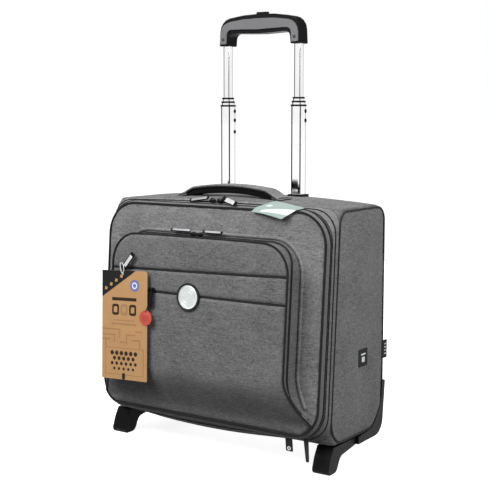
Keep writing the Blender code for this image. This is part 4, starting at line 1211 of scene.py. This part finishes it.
def make_care_tag():
    corners = [Vector((x * MM, FRONT_Y + y * MM)) for x, y in ((99, 25), (162, 6), (135, -14), (77, -6))]

    def place(u, v, w):
        left, right = corners[0].lerp(corners[3], v), corners[1].lerp(corners[2], v)
        x, y = left.lerp(right, u)
        bow = 1.2 * MM * math.sin(math.pi * u) * (0.4 + 0.6 * v)
        return Vector((x, y, card_height(y) + bow + w))

    def sheet_piece(name, u0, u1, v0, v1, low, high, paint, **marks):
        """A thin bent sheet from u0 to u1, between two edges given by functions of the share along it."""

        def row(w, j):
            return [place(u0 + (u1 - u0) * i / 12, v0(i / 12) + (v1(i / 12) - v0(i / 12)) * j / 10, w)
                    for i in range(13)]

        rows = [row(high, j) for j in range(11)] + [row(low, j) for j in range(10, -1, -1)]
        count = len(rows)
        points = [p for row in rows for p in row]
        last = (count - 1) * 13
        faces = grid_faces(count, 13) + [(last + i, last + i + 1, i + 1, i) for i in range(12)]
        for edge in (0, 12):
            loop = [r * 13 + edge for r in range(count)]
            faces += [(loop[j], loop[j + 1], loop[-2 - j], loop[-1 - j]) for j in range(10)]
        new_piece(name, mesh_from(points, faces, 40), paint, "care_flap", slot="mint_card", **marks)

    sheet_piece("care_card", 0, 1, lambda t: 0, lambda t: 1, 0, 0.7 * MM, "mint", node="care_tag")
    # A white band across the card: a painted highlight
    sheet_piece("care_painted_highlight", 0.25, 1.0, lambda t: 0.86 - 0.5 * t, lambda t: 0.95 - 0.2 * t, 0.7 * MM,
                0.82 * MM, "white")
    sheet_piece("care_spot", 0.16, 0.3, lambda t: 0.42, lambda t: 0.6, 0.7 * MM, 0.82 * MM, "white")
    start = place(0.03, 0.03, 0.8 * MM)
    ends = ((0, 0, 0), (-5, 4, 3), (-9, 9, 3.5), (-10, 11, 1.2), (-6, 9, 0.6), (-1, 3, 1.2))
    string_loop("care_string", [start + Vector(end) * MM for end in ends], 0.5, "binding", "care_flap", UP)


# ---- trolley details


def make_trolley_details():
    stages = (("a", "b"), ("b", "c"), ("c", "d"))
    for sign, word in SIDES:
        for outer, inner in stages:
            low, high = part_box(f"tube_{outer}_{word}")
            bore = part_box(f"tube_{inner}_{word}")
            hole = (bore[1].x - bore[0].x) / 2 + 0.25 * MM
            reach = (high.x - low.x) / 2 + 0.9 * MM
            centre = Vector(((low.x + high.x) / 2, (low.y + high.y) / 2, high.z + 0.1 * MM))
            half = (hole + reach) / 2
            square = box_outline(-half, half, -half, half, half * 0.38)
            path = [(centre.x + u, centre.y + v, centre.z) for u, v in square]
            section = moved(rounded_box(reach - hole, 3.0 * MM, 0.6 * MM, 2), 0, -0.2 * MM)
            sweep(f"collar_{outer}_{word}", path, section, "black", f"stage_{outer}", UP, True)
        low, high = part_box(f"tube_a_{word}")
        for index in range(3 if sign < 0 else 2):
            centre = Vector((high.x, high.y - 4 * MM, high.z - (9 + 15 * index + 4 * (index > 1)) * MM))
            profile = ((3.4, -0.3), (3.4, 0.1), (2.9, 0.18), (1.4, 0.2), (0, 0.15))
            turned(f"stop_{index}_{word}", profile, centre, (1, 0, 0), "black", "stage_a", 24)
        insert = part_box("grip_insert")
        centre = Vector((sign * 68.7 * MM, insert[0].y, insert[0].z + 7.5 * MM))
        screw = ((2.6, -0.4), (2.6, 0.25), (2.2, 0.4), (1.2, 0.35), (1.1, -0.5), (0, -0.6))
        turned(f"grip_screw_{word}", screw, centre, (0, -1, 0), "tooth", "stage_d", 24)
    low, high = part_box("release_button")
    dome = ((3.6, -0.6), (3.6, 0.05), (3.2, 0.35), (1.8, 0.55), (0, 0.6))
    turned("button_stud", dome, (low.x + 4.5 * MM, (low.y + high.y) / 2, high.z), (0, 0, 1), "nickel",
           "release", 24)


# ---- under the front edge, and inside


def make_hanging_tabs():
    """A flat tab with an eyelet and a short tapered strap end, both sewn under the frame's front corner."""
    y = FRONT_Y - 19 * MM

    def hang(u, v, w):
        return Vector((u, y + w - 0.12 * (v - 50 * MM), v))

    outline = box_outline(147 * MM, 159 * MM, 33 * MM, 56 * MM, 1.5 * MM)
    slab("eyelet_tab", outline, 0, 1.6 * MM, hang, "lining", "case", 0.4 * MM)
    eyelet = ((1.6, -0.3), (1.6, 0.3), (2.2, 0.55), (2.9, 0.4), (3.1, 0), (3.1, -0.3), (1.6, -0.3))
    turned("eyelet", eyelet, hang(153 * MM, 38 * MM, -0.1 * MM), (0, -1, 0), "nickel", "case", 28,
           slot="steel")
    taper = rounded([(179 * MM, 56 * MM, 0.5 * MM), (187 * MM, 56 * MM, 0.5 * MM),
                     (185.6 * MM, 21 * MM, 1.5 * MM), (180.8 * MM, 21 * MM, 1.5 * MM)])
    slab("strap_end", taper, 0, 2.0 * MM, hang, "lining", "case", 0.4 * MM)


def make_sleeve():
    """The laptop sleeve inside: a quilted upright pad with a bound top edge and a shelf at its foot."""
    low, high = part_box("laptop_sleeve")

    def ridge(along):
        return abs(math.sin(math.pi * along / (46 * MM)))

    def place(x, z):
        edge = min(x - low.x, high.x - x, z - low.z, high.z - z)
        quilt = 0.7 * MM * ridge(x + z) * ridge(x - z)
        roll = 1.6 * MM * (1 - smoothstep(edge / (4 * MM)))
        return Vector((x, low.y + 1.4 * MM - quilt + roll, z)), Vector((x, low.y + 5.6 * MM, z))

    pairs = [[place(x, z) for x in spread(low.x, high.x, 40)] for z in spread(low.z, high.z, 26)]
    padded("sleeve_pad", pairs, "lining", "case", 0.4, 0.6 * MM, node="laptop_sleeve")
    shelf = slab("sleeve_shelf", box_outline(low.x, high.x, low.y + 5 * MM, high.y, 1 * MM), low.z,
                 low.z + 4 * MM, on_level, "lining", "case", 1 * MM)
    path = [(x, low.y + 3.4 * MM, high.z) for x in (low.x, 0, high.x)]
    sweep("sleeve_binding", even(path, 8 * MM), circle(2.6 * MM, 10), "binding", "case", UP)


# ---- studio

# The world's strength as a light, below the horizon and high up
GROUND, ROOM = 0.03, 0.38
LENS, SENSOR = 80.96, 36
CAMERA_PLACE = (0.9963, -1.4167, 0.5272)
CAMERA_AIM = Vector((-0.0093, 0.04375, 0.3213))
FLOOR_REACH, FLOOR_LEVEL = 60, -0.5 * MM
# Dark upright flags that only reflections show: azimuth from the front towards the right, and half width,
# in degrees
FLAGS = ((46, 17), (-93, 38), (176, 24))
FLAG_REACH, FLAG_HEIGHT = 3.0, 2.4
# Softboxes: place, size and power
SOFTBOXES = (((-0.35, -1.15, 1.3), 0.9, 29), ((1.35, -0.5, 1.2), 1.0, 23), ((-0.5, 2.2, 0.45), 1.4, 22))
LAMP_AIM = Vector((0, 0, 0.3))


def prop(name, corners, faces, paint, *hidden):
    """A flat piece of the studio, hidden from the kinds of ray that are named."""
    mesh = mesh_from(corners, faces)
    mesh.materials.append(paint.material)
    made = bpy.data.objects.new(name, mesh)
    for rays in hidden:
        setattr(made, "visible_" + rays, False)
    scene.collection.objects.link(made)


def make_studio():
    camera = bpy.data.objects.new("camera", bpy.data.cameras.new("camera"))
    scene.collection.objects.link(camera)
    scene.camera = camera
    camera.data.lens, camera.data.sensor_width = LENS, SENSOR
    camera.location = CAMERA_PLACE
    camera.rotation_euler = (CAMERA_AIM - camera.location).to_track_quat("-Z", "Y").to_euler()
    camera.data.clip_end = 200

    make_world()
    paint = Paint("studio_floor", 0.8, Specular_IOR_Level=0.0, Emission_Color=(1, 1, 1, 1),
                  Emission_Strength=0.85)
    paint.colour(paint.ramp(paint.noise(3, 2), [(0.3, (0.80, 0.80, 0.80)), (0.7, (0.82, 0.82, 0.82))]))
    floor = [(u * FLOOR_REACH, v * FLOOR_REACH, FLOOR_LEVEL) for u, v in ((-1, -1), (1, -1), (1, 1), (-1, 1))]
    prop("floor", floor, [(0, 1, 2, 3)], paint, "diffuse")
    paint = Paint("studio_flag", 0.9, Specular_IOR_Level=0.0)
    paint.colour(paint.ramp(paint.noise(3, 2), [(0.3, (0.03, 0.03, 0.03)), (0.7, (0.04, 0.04, 0.04))]))
    for azimuth, half in FLAGS:
        sides = [math.radians(azimuth + turn) for turn in (-half, half)]
        feet = [(FLAG_REACH * math.sin(t), -FLAG_REACH * math.cos(t)) for t in sides]
        corners = [(x, y, z) for x, y in feet for z in (0, FLAG_HEIGHT)]
        prop("flag", corners, [(0, 1, 3, 2)], paint, "camera", "diffuse", "shadow")

    for place, size, power in SOFTBOXES:
        light = bpy.data.lights.new("softbox", "AREA")
        light.size, light.energy = size, power
        lamp = bpy.data.objects.new("softbox", light)
        lamp.location = place
        lamp.visible_camera = False
        lamp.visible_glossy = place[1] < 0
        lamp.rotation_euler = (LAMP_AIM - Vector(place)).to_track_quat("-Z", "Y").to_euler()
        scene.collection.objects.link(lamp)


def make_world():
    """White to the camera and to reflections. As a light it is dim above and dark below the horizon."""
    world = bpy.data.worlds.new("studio")
    scene.world = world
    world.use_nodes = True
    tree = world.node_tree
    background = tree.nodes["Background"]
    background.inputs["Color"].default_value = (1, 1, 1, 1)
    direction = add_node(tree, "ShaderNodeTexCoord").outputs["Generated"]
    height = add_node(tree, "ShaderNodeSeparateXYZ", i0=direction).outputs["Z"]
    value = add_node(tree, "ShaderNodeMapRange", Value=height, From_Min=-0.05, From_Max=0.4, To_Min=GROUND,
                     To_Max=ROOM).outputs["Result"]
    rays = add_node(tree, "ShaderNodeLightPath").outputs
    for seen in ("Is Camera Ray", "Is Glossy Ray"):
        value = add_node(tree, "ShaderNodeMath", {"operation": "MAXIMUM"}, i0=value,
                         i1=rays[seen]).outputs["Value"]
    tree.links.new(value, background.inputs["Strength"])
    scene.view_settings.view_transform = "Standard"


# ---- hard pieces that keep their CAD shape

FINISHES = {
    "black": ("corner_guard_left", "corner_guard_right", "skid_foot_left", "skid_foot_right", "grip_shell",
              "release_button", "top_bezel_left", "top_bezel_right", "back_board", "handle_base"),
    "satin": ("grip_insert",),
    "tube": [f"{kind}_{word}" for kind in ("tube_a", "tube_b", "tube_c", "tube_d", "guide_tube")
             for _, word in SIDES],
    "steel": ("wheel_axle_left", "wheel_axle_right", "release_yoke", "button_spring", "lock_pin_left",
              "lock_pin_right"),
    "hub": ("wheel_hub_left", "wheel_hub_right"),
    "rubber": ("wheel_tyre_left", "wheel_tyre_right"),
    "kraft": ("kraft_tag",),
}
EDGES = {"corner_guard_left": 1.0, "corner_guard_right": 1.0, "top_bezel_left": 1.0, "top_bezel_right": 1.0}


def finish_cad():
    for paint, names in FINISHES.items():
        for name in names:
            node = NODES[name]
            node.data.materials.clear()
            node.data.materials.append(M[paint])
            if name in EDGES:
                round_edges(node, EDGES[name] * MM, 3)


make_studio()
make_case()
make_main_zip()
make_lid()
make_pocket()
make_pocket_zip()
make_handle()
make_zip_fittings()
make_badge()
make_labels()
make_kraft_tag()
make_red_tag()
make_care_tag()
make_trolley_details()
make_hanging_tabs()
make_sleeve()
finish_cad()
swell_pads()
